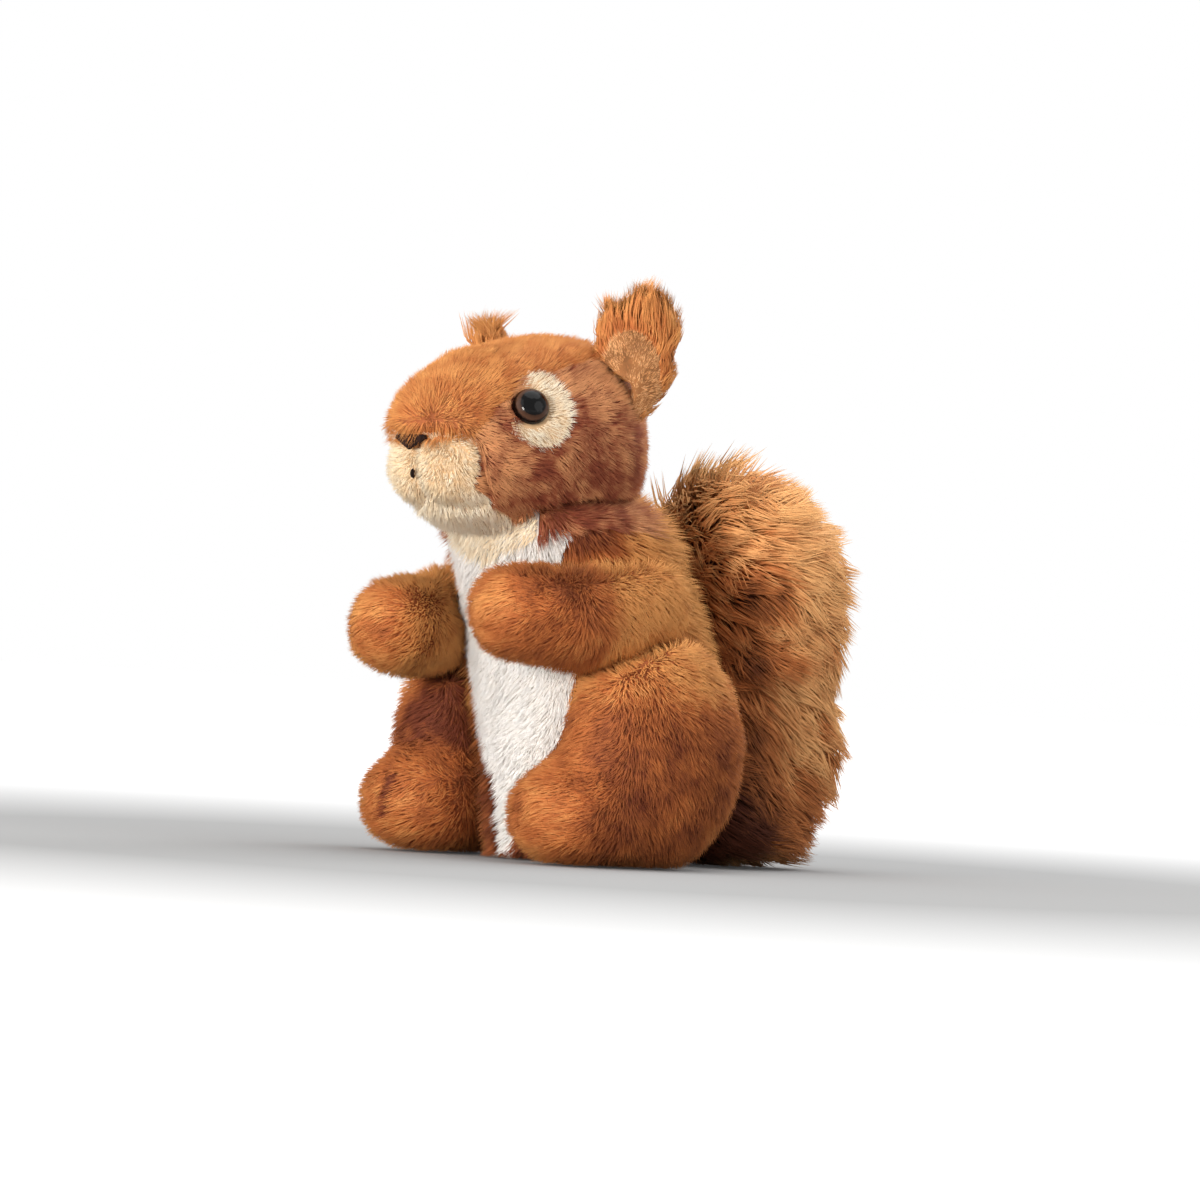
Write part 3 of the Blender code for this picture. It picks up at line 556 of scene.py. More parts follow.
def fill_bodies(bodies):
    """Blow each cloth up against its sewn-on edges, as the fibre fill does, and keep how far it may swell."""
    before = {}
    for name, body in bodies.items():
        places, _ = corners(body.data)
        before[name] = places
        sewn = body.vertex_groups.new(name="sewn")
        held = np.flatnonzero(near_neighbour(name, places, (BODIES[name][2] + SEWN_REACH) * MM))
        sewn.add(held.tolist(), 1.0, "REPLACE")
        step = body.modifiers.new("cloth", "CLOTH")
        for key, value in PLUSH_CLOTH.items():
            setattr(step.settings, key, value)
        step.settings.effector_weights.gravity = 0
        step.point_cache.frame_start = 1
        step.point_cache.frame_end = FILL_FRAMES
    for moment in range(1, FILL_FRAMES + 1):
        bpy.context.scene.frame_set(moment)
    for name, body in bodies.items():
        after, _ = corners(settled(body))
        body.modifiers.remove(body.modifiers["cloth"])
        move = after - before[name]
        far = np.linalg.norm(move, axis=1, keepdims=True)
        move *= np.minimum(1, BODIES[name][3] * MM / np.maximum(far, 1e-9))
        set_places(body.data, before[name] + move)
    bpy.context.scene.frame_set(1)


bodies = {name: make_body(name) for name in BODIES}
fill_bodies(bodies)
for name, body in bodies.items():
    body.vertex_groups.clear()
    with_modifier(body, "SUBSURF", levels=1)
    if name == "head":
        set_places(body.data, shape_muzzle(corners(body.data)[0]))


def middle_of(node):
    """The middle of a turned node's surface, which lies on its axis."""
    places, triangles = corners(frame["nodes"][node].data)
    a, b, c = (places[triangles[:, k]] for k in range(3))
    area = np.linalg.norm(np.cross(b - a, c - a), axis=1)
    return ((a + b + c) / 3 * area[:, None]).sum(axis=0) / area.sum()


def before_eye(places):
    """True in front of an eye, where the brown pile comes up to its corner."""
    found = np.zeros(len(places), bool)
    for side_name, side in SIDES:
        rel = places - middle_of("eye_" + side_name)
        ahead, up = -rel[:, 1], rel[:, 2]
        found |= (places[:, 0] * side > 0) & (ahead > 3.2 * MM - 0.45 * up) & (up < 9 * MM)
    return found


PAD_BACK = -78 * MM  # the muzzle pads end here
THROAT_HALF_WIDTH = 18.0 * MM
CHEEK_EDGE = 18.3 * MM  # the seam between throat and cheek, on the torso


def regions_of(name, places, normals):
    """The CAD node that shows over each place of a body's cloth."""
    if name.startswith("ear"):
        side_name = name[4:]
        return np.where(on_lining(side_name, places, normals), "ear_lining_" + side_name, name)
    tree, owners = TREES[name]
    reach = (BODIES[name][2] + 9) * MM
    starts = places + normals * reach
    found = []
    for start, way in zip(starts.tolist(), (-normals).tolist()):
        hit = tree.ray_cast(start, way, 2.5 * reach)
        found.append(owners[hit[2]] if hit[2] is not None else BODIES[name][0][0])
    found = np.array(found)
    if name == "head":
        found[np.isin(found, EYE_PATCHES) & before_eye(places)] = "head"
        for node, side in zip(PADS, (1, -1)):
            on_pad = (from_pad(node, places) < 1) & (places[:, 1] < PAD_BACK) & (places[:, 0] * side > 0)
            found[on_pad & (found != "crown_panel")] = node
            found[(found == node) & ~on_pad] = "throat_panel"
        wide = np.abs(places[:, 0])
        aside = (wide > THROAT_HALF_WIDTH) | ((places[:, 2] > 119 * MM) & (wide > 12 * MM))
        found[(found == "throat_panel") & aside] = "head"
    return found


def neck_of(places, owner):
    """The pile over each place of the torso, with the throat's and the cheeks' at its top."""
    wide, high = np.abs(places[:, 0]), places[:, 2]
    jaw = (wide > CHEEK_EDGE) & (high > 104.6 * MM + 0.46 * (wide - 22.5 * MM))
    jaw &= places[:, 1] < -14 * MM + 4 * MM * waves(places, 5 * MM, 38)
    jaw &= places[:, 1] > -52 * MM
    throat = (owner == "belly_panel") & (high > 95.6 * MM + 0.4 * wide)
    return np.where(jaw, "neck_side", np.where(throat, "neck_front", owner))


def finish_cloth(body, node, fill):
    """Give a cloth its backing and its node."""
    slot = SLOTS[node]
    body.data.materials.clear()
    body.data.materials.append(BACKINGS[slot])
    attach(body, "root")
    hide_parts(node)


def make_panels(name, body):
    """Thin panels of other cloth on a body, one over each of its panel nodes."""
    mesh = body.data
    middles = np.array([f.center for f in mesh.polygons])
    normals = np.array([f.normal for f in mesh.polygons])
    owner = regions_of(name, middles, normals)
    if name == "torso":
        owner = neck_of(middles, owner)
        owner[owner == "neck_front"] = "belly_panel"
    for node in BODIES[name][0][1:]:
        kept = owner == node
        part = bmesh.new()
        part.from_mesh(mesh)
        part.faces.ensure_lookup_table()
        gone = [part.faces[k] for k in np.flatnonzero(~kept)]
        bmesh.ops.delete(part, geom=gone, context="FACES")
        data = bpy.data.meshes.new(node + "_cloth")
        part.to_mesh(data)
        part.free()
        panel = link(node + "_cloth", data)
        with_modifier(panel, "SOLIDIFY", thickness=0.6 * MM, offset=1.0, use_even_offset=False)
        finish_cloth(panel, node, 0.5 if node in PADS else None)


for name, body in bodies.items():
    if len(BODIES[name][0]) > 1:
        make_panels(name, body)
    finish_cloth(body, BODIES[name][0][0], BODIES[name][4])


# Eyes

EYE_RADIUS, EYE_RISE = 6.0 * MM, 4.6 * MM


def eye_seat(side_name):
    """Middle of the back of the dome, and the axis out of the face."""
    eye = middle_of("eye_" + side_name)
    axis = unit(eye - middle_of("eye_washer_" + side_name))
    places, _ = corners(frame["nodes"]["eye_" + side_name].data)
    top = ((places - eye) @ axis).max()
    return eye + axis * (top - EYE_RISE), axis


EYES = {name: eye_seat(name) for name, _ in SIDES}


def turned(name, profile, seat, axis, sides=56):
    """A solid turned round an axis from (radius, height) points, with how far out each point lies."""
    frame_x = unit(np.cross(axis, UP))
    frame_y = np.cross(axis, frame_x)
    mesh = bmesh.new()
    out = mesh.verts.layers.float.new("out")
    rings = []
    for radius, height, share in profile:
        count = 1 if radius < 1e-7 else sides
        ring = []
        for k in range(count):
            turn = 2 * math.pi * k / count
            spot = seat + axis * height + (frame_x * math.cos(turn) + frame_y * math.sin(turn)) * radius
            made = mesh.verts.new(spot)
            made[out] = share
            ring.append(made)
        rings.append(ring)
    for low, high in zip(rings, rings[1:]):
        for k in range(sides):
            n = (k + 1) % sides
            corner_list = [low[k % len(low)], low[n % len(low)], high[n % len(high)], high[k % len(high)]]
            mesh.faces.new(list(dict.fromkeys(corner_list)))
    bmesh.ops.recalc_face_normals(mesh, faces=mesh.faces)
    data = bpy.data.meshes.new(name)
    mesh.to_mesh(data)
    mesh.free()
    return link(name, data)


def eye_material():
    """Moulded acrylic eye, painted behind a clear dome: black pupil, dark amber iris, and a hard gleam."""
    made, tree, output = new_material("acrylic_moulded_clear")
    out = add_node(tree, "Attribute", attribute_name="out").outputs["Fac"]
    place = add_node(tree, "TexCoord").outputs["Object"]
    streaks = add_node(tree, "TexNoise", {"Vector": place, "Scale": 1 / (0.8 * MM), "Detail": 2.0})
    wobble = add_node(tree, "MapRange", {0: streaks.outputs[0], "To Min": -0.03, "To Max": 0.03}).outputs[0]
    ring = add_node(tree, "Math", {0: out, 1: wobble}, operation="ADD").outputs[0]
    stops = [(0.0, "#020202"), (0.66, "#030202"), (0.72, "#3a2519"), (0.86, "#4c3224"), (0.93, "#0a0504")]
    colour = add_node(tree, "ValToRGB", {0: ring}, stops=stops).outputs[0]
    cover(tree, output, {"Base Color": colour, "Roughness": 0.05, "IOR": 1.49, "Specular IOR Level": 0.17})
    return made


def plastic_material():
    """Moulded white polypropylene washer: matte, with the faint grain of its mould."""
    made, tree, output = new_material("polypropylene_moulded")
    place = add_node(tree, "TexCoord").outputs["Object"]
    grain = add_node(tree, "TexNoise", {"Vector": place, "Scale": 1 / (0.5 * MM)})
    bump = add_node(tree, "Bump", {"Height": grain.outputs[0], "Strength": 0.15, "Distance": 0.05 * MM})
    stops = [(0.3, "#d9d8d4"), (0.7, "#e6e5e1")]
    shade = add_node(tree, "ValToRGB", {0: grain.outputs[0]}, stops=stops).outputs[0]
    cover(tree, output, {"Base Color": shade, "Roughness": 0.45, "IOR": 1.49, "Normal": bump.outputs[0]})
    return made


SHANK_RADIUS, SHANK_DEPTH = 1.5 * MM, 10 * MM
EYE_FLANGE = 0.4 * MM  # behind the dome


def make_eye(side_name, finish):
    """A moulded eye: the dome, its flange and its shank, turned as one."""
    seat, axis = EYES[side_name]
    steps = 16
    angles = [math.pi / 2 * k / steps for k in range(steps)]
    dome = [(EYE_RADIUS * math.cos(a), EYE_RISE * math.sin(a), math.cos(a)) for a in angles]
    dome.append((0.0, EYE_RISE, 0.0))
    stem = [
        (0.0, -SHANK_DEPTH, 1.0),
        (SHANK_RADIUS, -SHANK_DEPTH, 1.0),
        (SHANK_RADIUS, -EYE_FLANGE, 1.0),
        (EYE_RADIUS * 0.93, -EYE_FLANGE, 1.0),
    ]
    eye = turned("eye_" + side_name + "_dome", stem + dome, seat, axis)
    eye.data.materials.append(finish)
    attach(eye, "root")
    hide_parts("eye_" + side_name)


acrylic = eye_material()
washer_plastic = plastic_material()
for side_name, _ in SIDES:
    make_eye(side_name, acrylic)
    washer = frame["nodes"]["eye_washer_" + side_name]
    washer.data.materials.clear()
    washer.data.materials.append(washer_plastic)


# Stitching


def thread_material():
    """Rayon embroidery thread: twisted, with a silky line of light along each stitch."""
    made, tree, output = new_material("rayon_thread_twisted")
    place = add_node(tree, "TexCoord").outputs["Object"]
    twist = add_node(tree, "TexWave", {"Vector": place, "Scale": 1 / (0.5 * MM * 20), "Distortion": 1.0})
    bump = add_node(tree, "Bump", {"Height": twist.outputs["Fac"], "Strength": 0.3, "Distance": 0.04 * MM})
    stops = [(0.2, "#170b07"), (0.8, "#2c1811")]
    shade = add_node(tree, "ValToRGB", {0: twist.outputs["Fac"]}, stops=stops).outputs[0]
    silk = {"Roughness": 0.7, "Specular IOR Level": 0.12}
    cover(tree, output, {"Base Color": shade, **silk, "Normal": bump.outputs[0]})
    return made


def tube(mesh, line, radius, sides=8):
    """Add a round thread along a line to a mesh, closed at its ends."""
    rings = []
    for k, spot in enumerate(line):
        ahead = line[min(k + 1, len(line) - 1)] - line[max(k - 1, 0)]
        ahead.normalize()
        side = ahead.cross(Vector((0, -1, 0.2))).normalized()
        over = side.cross(ahead)
        reach = radius * (0.5 if k in (0, len(line) - 1) else 1.0)
        turns = [2 * math.pi * j / sides for j in range(sides)]
        ring = [spot + (side * math.cos(t) + over * math.sin(t)) * reach for t in turns]
        rings.append([mesh.verts.new(place) for place in ring])
    for low, high in zip(rings, rings[1:]):
        for j in range(sides):
            n = (j + 1) % sides
            mesh.faces.new((low[j], low[n], high[n], high[j]))
    mesh.faces.new(rings[0])
    mesh.faces.new(rings[-1])


def make_stitched(node, finish, thread, rows_upright):
    """Satin stitches laid side by side over a node's outline, following its front."""
    low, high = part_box(node)
    tree, _ = tree_of((node,))
    mesh = bmesh.new()
    span = (high.x - low.x) if rows_upright else (high.z - low.z)
    count = max(3, round(span / (thread * 0.86)))
    for k in range(count):
        share = (k + 0.5) / count
        found = []
        for j in range(41):
            run = (j + 0.5) / 41
            x = low.x + (high.x - low.x) * (share if rows_upright else run)
            z = low.z + (high.z - low.z) * (run if rows_upright else share)
            hit = tree.ray_cast(Vector((x, low.y - 5 * MM, z)), Vector((0, 1, 0)), 20 * MM)
            if hit[0] is not None:
                found.append(hit[0])
        if len(found) < 4:
            continue
        picks = [found[round(t * (len(found) - 1))] for t in np.linspace(0, 1, 9)]
        line = [p + Vector((0, -0.1 * MM * math.sin(math.pi * t / 8), 0)) for t, p in enumerate(picks)]
        tube(mesh, line, thread / 2)
    bmesh.ops.recalc_face_normals(mesh, faces=mesh.faces)
    data = bpy.data.meshes.new(node + "_threads")
    mesh.to_mesh(data)
    mesh.free()
    made = link(node + "_threads", data)
    made.data.materials.append(finish)
    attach(made, "root")
    return made


def make_padding(node, finish):
    """The laid threads under the satin stitches, as one low mound."""
    mound = joined_copy(node + "_mound", (node,))
    with_modifier(mound, "REMESH", mode="VOXEL", voxel_size=0.45 * MM)
    places, _ = corners(mound.data)
    set_places(mound.data, places - outward(mound.data) * 0.15 * MM)
    with_modifier(mound, "SMOOTH", factor=0.5, iterations=3)
    mound.data.materials.append(finish)
    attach(mound, "root")
    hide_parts(node)


rayon = thread_material()
for node, upright in (("nose_embroidery", True), ("mouth_stitch", True)):
    make_stitched(node, rayon, 0.5 * MM, upright)
    make_padding(node, rayon)


# Pile


def roots_on(mesh, count, draw):
    """Roots spread evenly over a mesh by area, with the normals there."""
    places, triangles = corners(mesh)
    normals = outward(mesh)
    a, b, c = (places[triangles[:, k]] for k in range(3))
    area = np.linalg.norm(np.cross(b - a, c - a), axis=1) / 2
    reach = np.cumsum(area)
    picks = np.searchsorted(reach, (np.arange(count) + draw.random(count)) / count * reach[-1])
    picks = np.minimum(picks, len(triangles) - 1)
    r1, r2 = np.sqrt(draw.random(count)), draw.random(count)
    shares = np.stack([1 - r1, r1 * (1 - r2), r1 * r2], axis=1)
    spots = (places[triangles[picks]] * shares[:, :, None]).sum(axis=1)
    ways = unit((normals[triangles[picks]] * shares[:, :, None]).sum(axis=1))
    return spots, ways


def surface_area(mesh):
    places, triangles = corners(mesh)
    a, b, c = (places[triangles[:, k]] for k in range(3))
    return np.linalg.norm(np.cross(b - a, c - a), axis=1).sum() / 2


NEIGHBOUR_REACH = 12 * MM  # how far a neighbour is looked for
HIDDEN_DEPTH = 2.6 * MM  # pile that ends deeper than this in a neighbour isn't grown


def hidden_roots(name, spots, normals):
    """True where the pile would stand inside a neighbouring body."""
    ends = spots + normals * (BODIES[name][2] + 0.4) * MM
    hidden = np.zeros(len(spots), bool)
    for other in NEIGHBOURS[name]:
        tree, _ = TREES[other]
        for k, end in enumerate(ends.tolist()):
            if hidden[k]:
                continue
            near, face, _, _ = tree.find_nearest(end, NEIGHBOUR_REACH)
            if near is not None and (Vector(end) - near).dot(face) < -HIDDEN_DEPTH:
                hidden[k] = True
    return hidden


def tangent(ways, normals):
    """Directions laid onto the surface."""
    flat = ways - normals * (ways * normals).sum(axis=1, keepdims=True)
    return unit(flat)


def steady(count, x, y, z):
    return np.tile(np.array((x, y, z), float), (count, 1))


def brow_edge(spots):
    """1 along the front edge of the crown, which hangs over the stitched nose."""
    return smooth_step(-82 * MM, -86 * MM, spots[:, 1]) * smooth_step(139 * MM, 136 * MM, spots[:, 2])


def comb_head(spots, normals):
    """From the nose back over the brow, and back and down over the cheeks."""
    ways = steady(len(spots), 0, 1, 0.0)
    ways[:, 2] -= 0.55 * smooth_step(150 * MM, 125 * MM, spots[:, 2])
    ways[:, 2] -= 0.7 * smooth_step(119 * MM, 109 * MM, spots[:, 2])
    snout = smooth_step(-60 * MM, -85 * MM, spots[:, 1])
    ways[:, 0] += np.clip(spots[:, 0] / (12 * MM), -1, 1) * 0.35 * snout
    edge = brow_edge(spots)[:, None]
    return ways * (1 - edge) + np.array((0, -0.5, -1.0)) * edge


def comb_muzzle(spots, normals):
    """Away from the nose in all directions, in loose curls."""
    nose = np.array((0, -89 * MM, 131 * MM))
    ways = spots - nose
    ways[:, 2] -= 2 * MM
    for k in range(3):
        ways[:, k] += waves(spots, 4 * MM, 70 + k) * 6 * MM
    return ways


def comb_down(spots, normals):
    return steady(len(spots), 0, -0.15, -1)


def comb_throat(spots, normals):
    return steady(len(spots), 0, 0.7, -0.7)


def comb_arm(spots, normals):
    """Down over the shoulder, then along the arm to the paw and down round its end."""
    shoulder = smooth_step(-62 * MM, -46 * MM, spots[:, 1])[:, None]
    return np.array((0, -1, -0.4)) * (1 - shoulder) + np.array((0, 0.1, -1.0)) * shoulder


def comb_leg(spots, normals):
    """Down and back over the thigh, and forward over the foot."""
    foot = smooth_step(-32 * MM, -46 * MM, spots[:, 1]) * smooth_step(52 * MM, 38 * MM, spots[:, 2])
    thigh = steady(len(spots), 0, 0.25, -1)
    toes = steady(len(spots), 0, -1, -0.35)
    return thigh * (1 - foot[:, None]) + toes * foot[:, None]


def comb_tail(spots, normals):
    """Away from the back, rising at the top and falling below; on the inner face it parts to both sides."""
    inner = np.clip(-normals[:, 1], 0, 1)
    heights = np.array((0, 25, 50, 75, 95, 112, 128, 136)) * MM
    slopes = np.array((-0.2, -0.6, -1.2, -1.0, -0.6, -0.1, 0.4, 0.7))
    top = smooth_step(108 * MM, 132 * MM, spots[:, 2])
    ways = steady(len(spots), 0, 1, 0)
    ways[:, 0] = np.clip((spots[:, 0] + 18 * MM) / (7 * MM), -1, 1) * 1.3 * inner * (1 - 0.7 * top)
    ways[:, 1] -= 0.8 * inner + (0.9 + 1.2 * inner) * top
    ways[:, 2] = np.interp(spots[:, 2], heights, slopes) + 0.2 * inner
    return ways


def comb_ear(side_name):
    """Up the ear, fanning out a little to both edges; the right one is brushed more upright."""
    _, up, _, _ = ear_axes(side_name)
    fan = 20 * MM if side_name == "left" else 12 * MM

    def ways(spots, normals):
        x, _, _ = in_ear(side_name, spots)
        upright = up + UP * (0.0 if side_name == "left" else 0.4)
        return upright + np.outer((x + 3 * MM) / fan, forward_of(side_name))

    return ways


def comb_lining(side_name):
    """Outward and up from the middle of the lining."""
    _, up, _, _ = ear_axes(side_name)

    def ways(spots, normals):
        x, y, _ = in_ear(side_name, spots)
        return np.outer(x / (9 * MM), forward_of(side_name)) + np.outer(0.55 + y / (30 * MM), up)

    return ways


def longer_nape(spots):
    """How many times longer the pile gets at the nape."""
    level = smooth_step(132 * MM, 118 * MM, spots[:, 2]) * smooth_step(96 * MM, 108 * MM, spots[:, 2])
    # the lower rim of the cheek hangs over the seam of the neck
    rim = smooth_step(117 * MM, 108 * MM, spots[:, 2]) * smooth_step(-62 * MM, -50 * MM, spots[:, 1])
    return 1 + 0.7 * level * smooth_step(-24 * MM, -10 * MM, spots[:, 1]) + 0.55 * rim


def longer_brow(spots):
    """How many times longer the pile gets at the front edge of the crown."""
    return 1 + 0.45 * brow_edge(spots)


def longer_tail(spots):
    """How many times longer the tail's pile gets at its top toward the nape, and low behind."""
    top = smooth_step(88 * MM, 112 * MM, spots[:, 2]) * smooth_step(56 * MM, 40 * MM, spots[:, 1])
    low = smooth_step(55 * MM, 40 * MM, spots[:, 2]) * smooth_step(60 * MM, 72 * MM, spots[:, 1])
    return 1 + 0.25 * top + 0.35 * low


def longer_thigh(spots):
    """How many times longer the pile gets on the front of the right thigh."""
    return 1 + 0.6 * smooth_step(30 * MM, 42 * MM, spots[:, 2]) * smooth_step(0, -14 * MM, spots[:, 1])


def longer_ear(side_name):
    """How many times longer the pile gets toward the tip, where it makes the tuft."""
    base, up, _, height = ear_axes(side_name)
    return lambda spots: 1 + 2.4 * smooth_step(0.40, 0.66, (spots - base) @ up / height)


def comb_patch(side_name):
    seat, _ = EYES[side_name]
    return lambda spots, normals: unit(spots - seat) + np.array((0, 0.6, -0.2))


def zone_head(spots):
    """Orange by the crown, a painted light from above, at the temple and beside the muzzle; darkest low and
    behind, a painted shade; mottled all over.
    """
    low = smooth_step(140 * MM, 112 * MM, spots[:, 2])
    rear = smooth_step(-45 * MM, -20 * MM, spots[:, 1])
    front = smooth_step(-62 * MM, -76 * MM, spots[:, 1])
    high = smooth_step(134 * MM, 150 * MM, spots[:, 2])
    mottle = 0.13 * waves(spots, 9 * MM, 31) + 0.09 * waves(spots, 4 * MM, 32)
    corner = np.zeros(len(spots))
    for side_name, side in SIDES:
        rel = spots - middle_of("eye_" + side_name)
        near = smooth_step(10.5 * MM, 6.5 * MM, np.linalg.norm(rel, axis=1))
        corner += near * (spots[:, 0] * side > 0) * smooth_step(5 * MM, 1 * MM, rel[:, 2])
    return 0.26 * front + 0.26 * high - 0.10 * low * rear - 0.5 * corner + mottle


def zone_crown(spots):
    brow = smooth_step(-50 * MM, -80 * MM, spots[:, 1])
    return 0.04 + 0.06 * brow


def zone_throat(spots):
    """Paler than the muzzle pads."""
    return np.full(len(spots), 0.16)


def zone_patch(spots):
    """The palest cream."""
    return np.full(len(spots), 0.2)


def zone_torso(spots):
    """Golden over the shoulders and down the back, a painted light; dark under the cheek and low between the
    legs, painted shade.
    """
    high = smooth_step(60 * MM, 88 * MM, spots[:, 2])
    rear = smooth_step(-40 * MM, -14 * MM, spots[:, 1])
    # fold and crotch darken with painted shade under the cheek and between the legs
    fold = smooth_step(97 * MM, 104 * MM, spots[:, 2]) * smooth_step(-22 * MM, -34 * MM, spots[:, 1])
    crotch = smooth_step(60 * MM, 40 * MM, spots[:, 2]) * smooth_step(-10 * MM, -24 * MM, spots[:, 1])
    mottle = 0.10 * waves(spots, 10 * MM, 36)
    return 0.06 + 0.38 * high * (0.3 + 0.7 * rear) - 0.6 * fold - 0.6 * crotch + mottle


def zone_jaw(spots):
    """The lower edge of the cheek, dark red brown."""
    rear = smooth_step(-34 * MM, -16 * MM, spots[:, 1])
    return -0.14 + 0.34 * rear + 0.12 * waves(spots, 8 * MM, 37)


def zone_arm(spots):
    """Orange at the paw and the shoulder, darker between; the lighter shoulder is painted light, and on the
    right arm a painted light brightens the shade near the body.
    """
    middle = smooth_step(-82 * MM, -68 * MM, spots[:, 1]) * smooth_step(-36 * MM, -52 * MM, spots[:, 1])
    shoulder = smooth_step(-50 * MM, -34 * MM, spots[:, 1])
    left = spots[:, 0] > 0
    mottle = 0.10 * waves(spots, 10 * MM, 33)
    # painted light on the right arm, near the body where it lies in shade
    near_body = smooth_step(-76 * MM, -60 * MM, spots[:, 1])
    return np.where(left, -0.22 * middle + 0.42 * shoulder, 0.05 + 0.35 * near_body) + mottle


def zone_leg(spots):
    """Orange over the knee, a painted light from above, and over the toes; darker down the side of the thigh.
    """
    knee = smooth_step(46 * MM, 66 * MM, spots[:, 2])
    toes = smooth_step(-40 * MM, -60 * MM, spots[:, 1])
    right = spots[:, 0] < 0
    # the right thigh's front is darker, and a short dark line of painted shade stands for a crease between
    # that foot's toes
    thigh = right * smooth_step(30 * MM, 42 * MM, spots[:, 2]) * smooth_step(0, -14 * MM, spots[:, 1])
    crease = np.exp(-(((spots[:, 0] + 34 * MM) / (1.6 * MM)) ** 2))
    crease *= np.abs(spots[:, 2] - 18.5 * MM) < 7 * MM
    crease *= smooth_step(-54 * MM, -60 * MM, spots[:, 1])
    tone = -0.34 + 0.66 * knee + 0.26 * toes * (1 - knee) + 0.10 * waves(spots, 11 * MM, 34)
    outer = smooth_step(-40 * MM, -52 * MM, spots[:, 0])
    # the right leg is lighter away from its toes: painted light in the toy's own shadow
    return tone - (0.55 - 0.45 * outer) * thigh - 0.9 * crease * right + 0.16 * right * (1 - toes)


def zone_tail(spots):
    """Golden at the top, a painted light from above, and darkest in the hollow behind the back and near the
    ground, painted shade.
    """
    high = smooth_step(80 * MM, 120 * MM, spots[:, 2])
    low = smooth_step(56 * MM, 12 * MM, spots[:, 2])
    inner = smooth_step(52 * MM, 34 * MM, spots[:, 1])
    mottle = 0.14 * waves(spots, 12 * MM, 35)
    return 0.18 + 0.22 * high - 0.50 * low - 0.46 * inner * (1 - 0.6 * high) + mottle


def zone_lining(side_name):
    """Dark along the fold, a painted shade in it, and near the rim."""

    def tint_and_painted_shade(spots):
        x, y, _ = in_ear(side_name, spots)
        rim = smooth_step(0.78, 1.0, (x / LINING_HALF[0]) ** 2 + (y / LINING_HALF[1]) ** 2)
        return 0.08 - 1.5 * fold_of_ear(side_name, spots) - 0.12 * rim

    return tint_and_painted_shade


def zone_ear(side_name):
    """Golden, and palest above the lining, where the tuft is seen from inside: a painted light on that shaded
    side.
    """

    def tint_and_painted_shade(spots):
        _, y, z = in_ear(side_name, spots)
        return 0.12 + 0.38 * smooth_step(7 * MM, 12 * MM, y) * (z > -2.5 * MM)

    return tint_and_painted_shade


def zone_none(spots):
    return np.zeros(len(spots))


# Each pile: strands per mm2, then in millimetres length and root radius, how much it stands up and lies down,
# lock size in millimetres, how far the tips gather, 1 if it bends, its comb and its zones of colour with
# painted light and shade
PILES = {
    "torso": (1.35, 5.2, 0.28, 0.95, 0.85, 2.6, 0.22, 0, comb_down, zone_torso),
    "belly_panel": (3.4, 4.6, 0.20, 0.95, 0.85, 2.0, 0.20, 0, comb_down, zone_none),
    "neck_front": (3.4, 5.2, 0.20, 0.9, 0.9, 2.0, 0.22, 0, comb_down, zone_throat),
    "neck_side": (3.2, 5.2, 0.20, 0.9, 0.9, 2.0, 0.25, 0, comb_head, zone_jaw),
    "head": (3.5, 4.1, 0.19, 0.8, 1.0, 2.0, 0.28, 0, comb_head, zone_head),
    "crown_panel": (4.2, 4.1, 0.17, 0.8, 1.0, 1.9, 0.24, 0, comb_head, zone_crown),
    "throat_panel": (4.0, 4.2, 0.18, 0.9, 0.9, 1.8, 0.22, 0, comb_throat, zone_throat),
    "eye_patch_left": (4.4, 3.4, 0.17, 0.8, 0.9, 1.6, 0.20, 0, comb_patch("left"), zone_patch),
    "eye_patch_right": (4.4, 3.4, 0.17, 0.8, 0.9, 1.6, 0.20, 0, comb_patch("right"), zone_patch),
    "muzzle_left": (4.4, 3.0, 0.18, 1.0, 0.7, 1.4, 0.45, 0, comb_muzzle, zone_none),
    "muzzle_right": (4.4, 3.0, 0.18, 1.0, 0.7, 1.4, 0.45, 0, comb_muzzle, zone_none),
    "arm_left": (3.2, 4.7, 0.21, 0.8, 1.0, 2.2, 0.20, 0, comb_arm, zone_arm),
    "arm_right": (2.6, 4.7, 0.23, 0.8, 1.0, 2.2, 0.20, 0, comb_arm, zone_arm),
    "leg_left": (2.6, 4.8, 0.23, 0.8, 1.0, 2.2, 0.20, 0, comb_leg, zone_leg),
    "leg_right": (1.9, 4.8, 0.26, 0.8, 1.0, 2.2, 0.20, 0, comb_leg, zone_leg),
    "tail": (1.25, 15.5, 0.36, 0.62, 1.0, 4.2, 0.74, 1, comb_tail, zone_tail),
    "ear_left": (6.5, 4.2, 0.20, 0.45, 1.0, 2.4, 0.62, 1, comb_ear("left"), zone_ear("left")),
    "ear_right": (4.6, 4.2, 0.20, 0.45, 1.0, 2.4, 0.62, 1, comb_ear("right"), zone_ear("right")),
    "ear_lining_left": (5.0, 2.4, 0.16, 0.7, 1.0, 1.4, 0.35, 0, comb_lining("left"), zone_lining("left")),
    "ear_lining_right": (5.0, 2.4, 0.16, 0.7, 1.0, 1.4, 0.35, 0, comb_lining("right"), zone_lining("right")),
}
LONGER = {
    "ear_left": longer_ear("left"),
    "ear_right": longer_ear("right"),
    "head": longer_nape,
    "neck_side": longer_nape,
    "torso": longer_nape,
    "crown_panel": longer_brow,
    "tail": longer_tail,
    "leg_right": longer_thigh,
}
MOST_TRIANGLES = 195_000  # of one piece


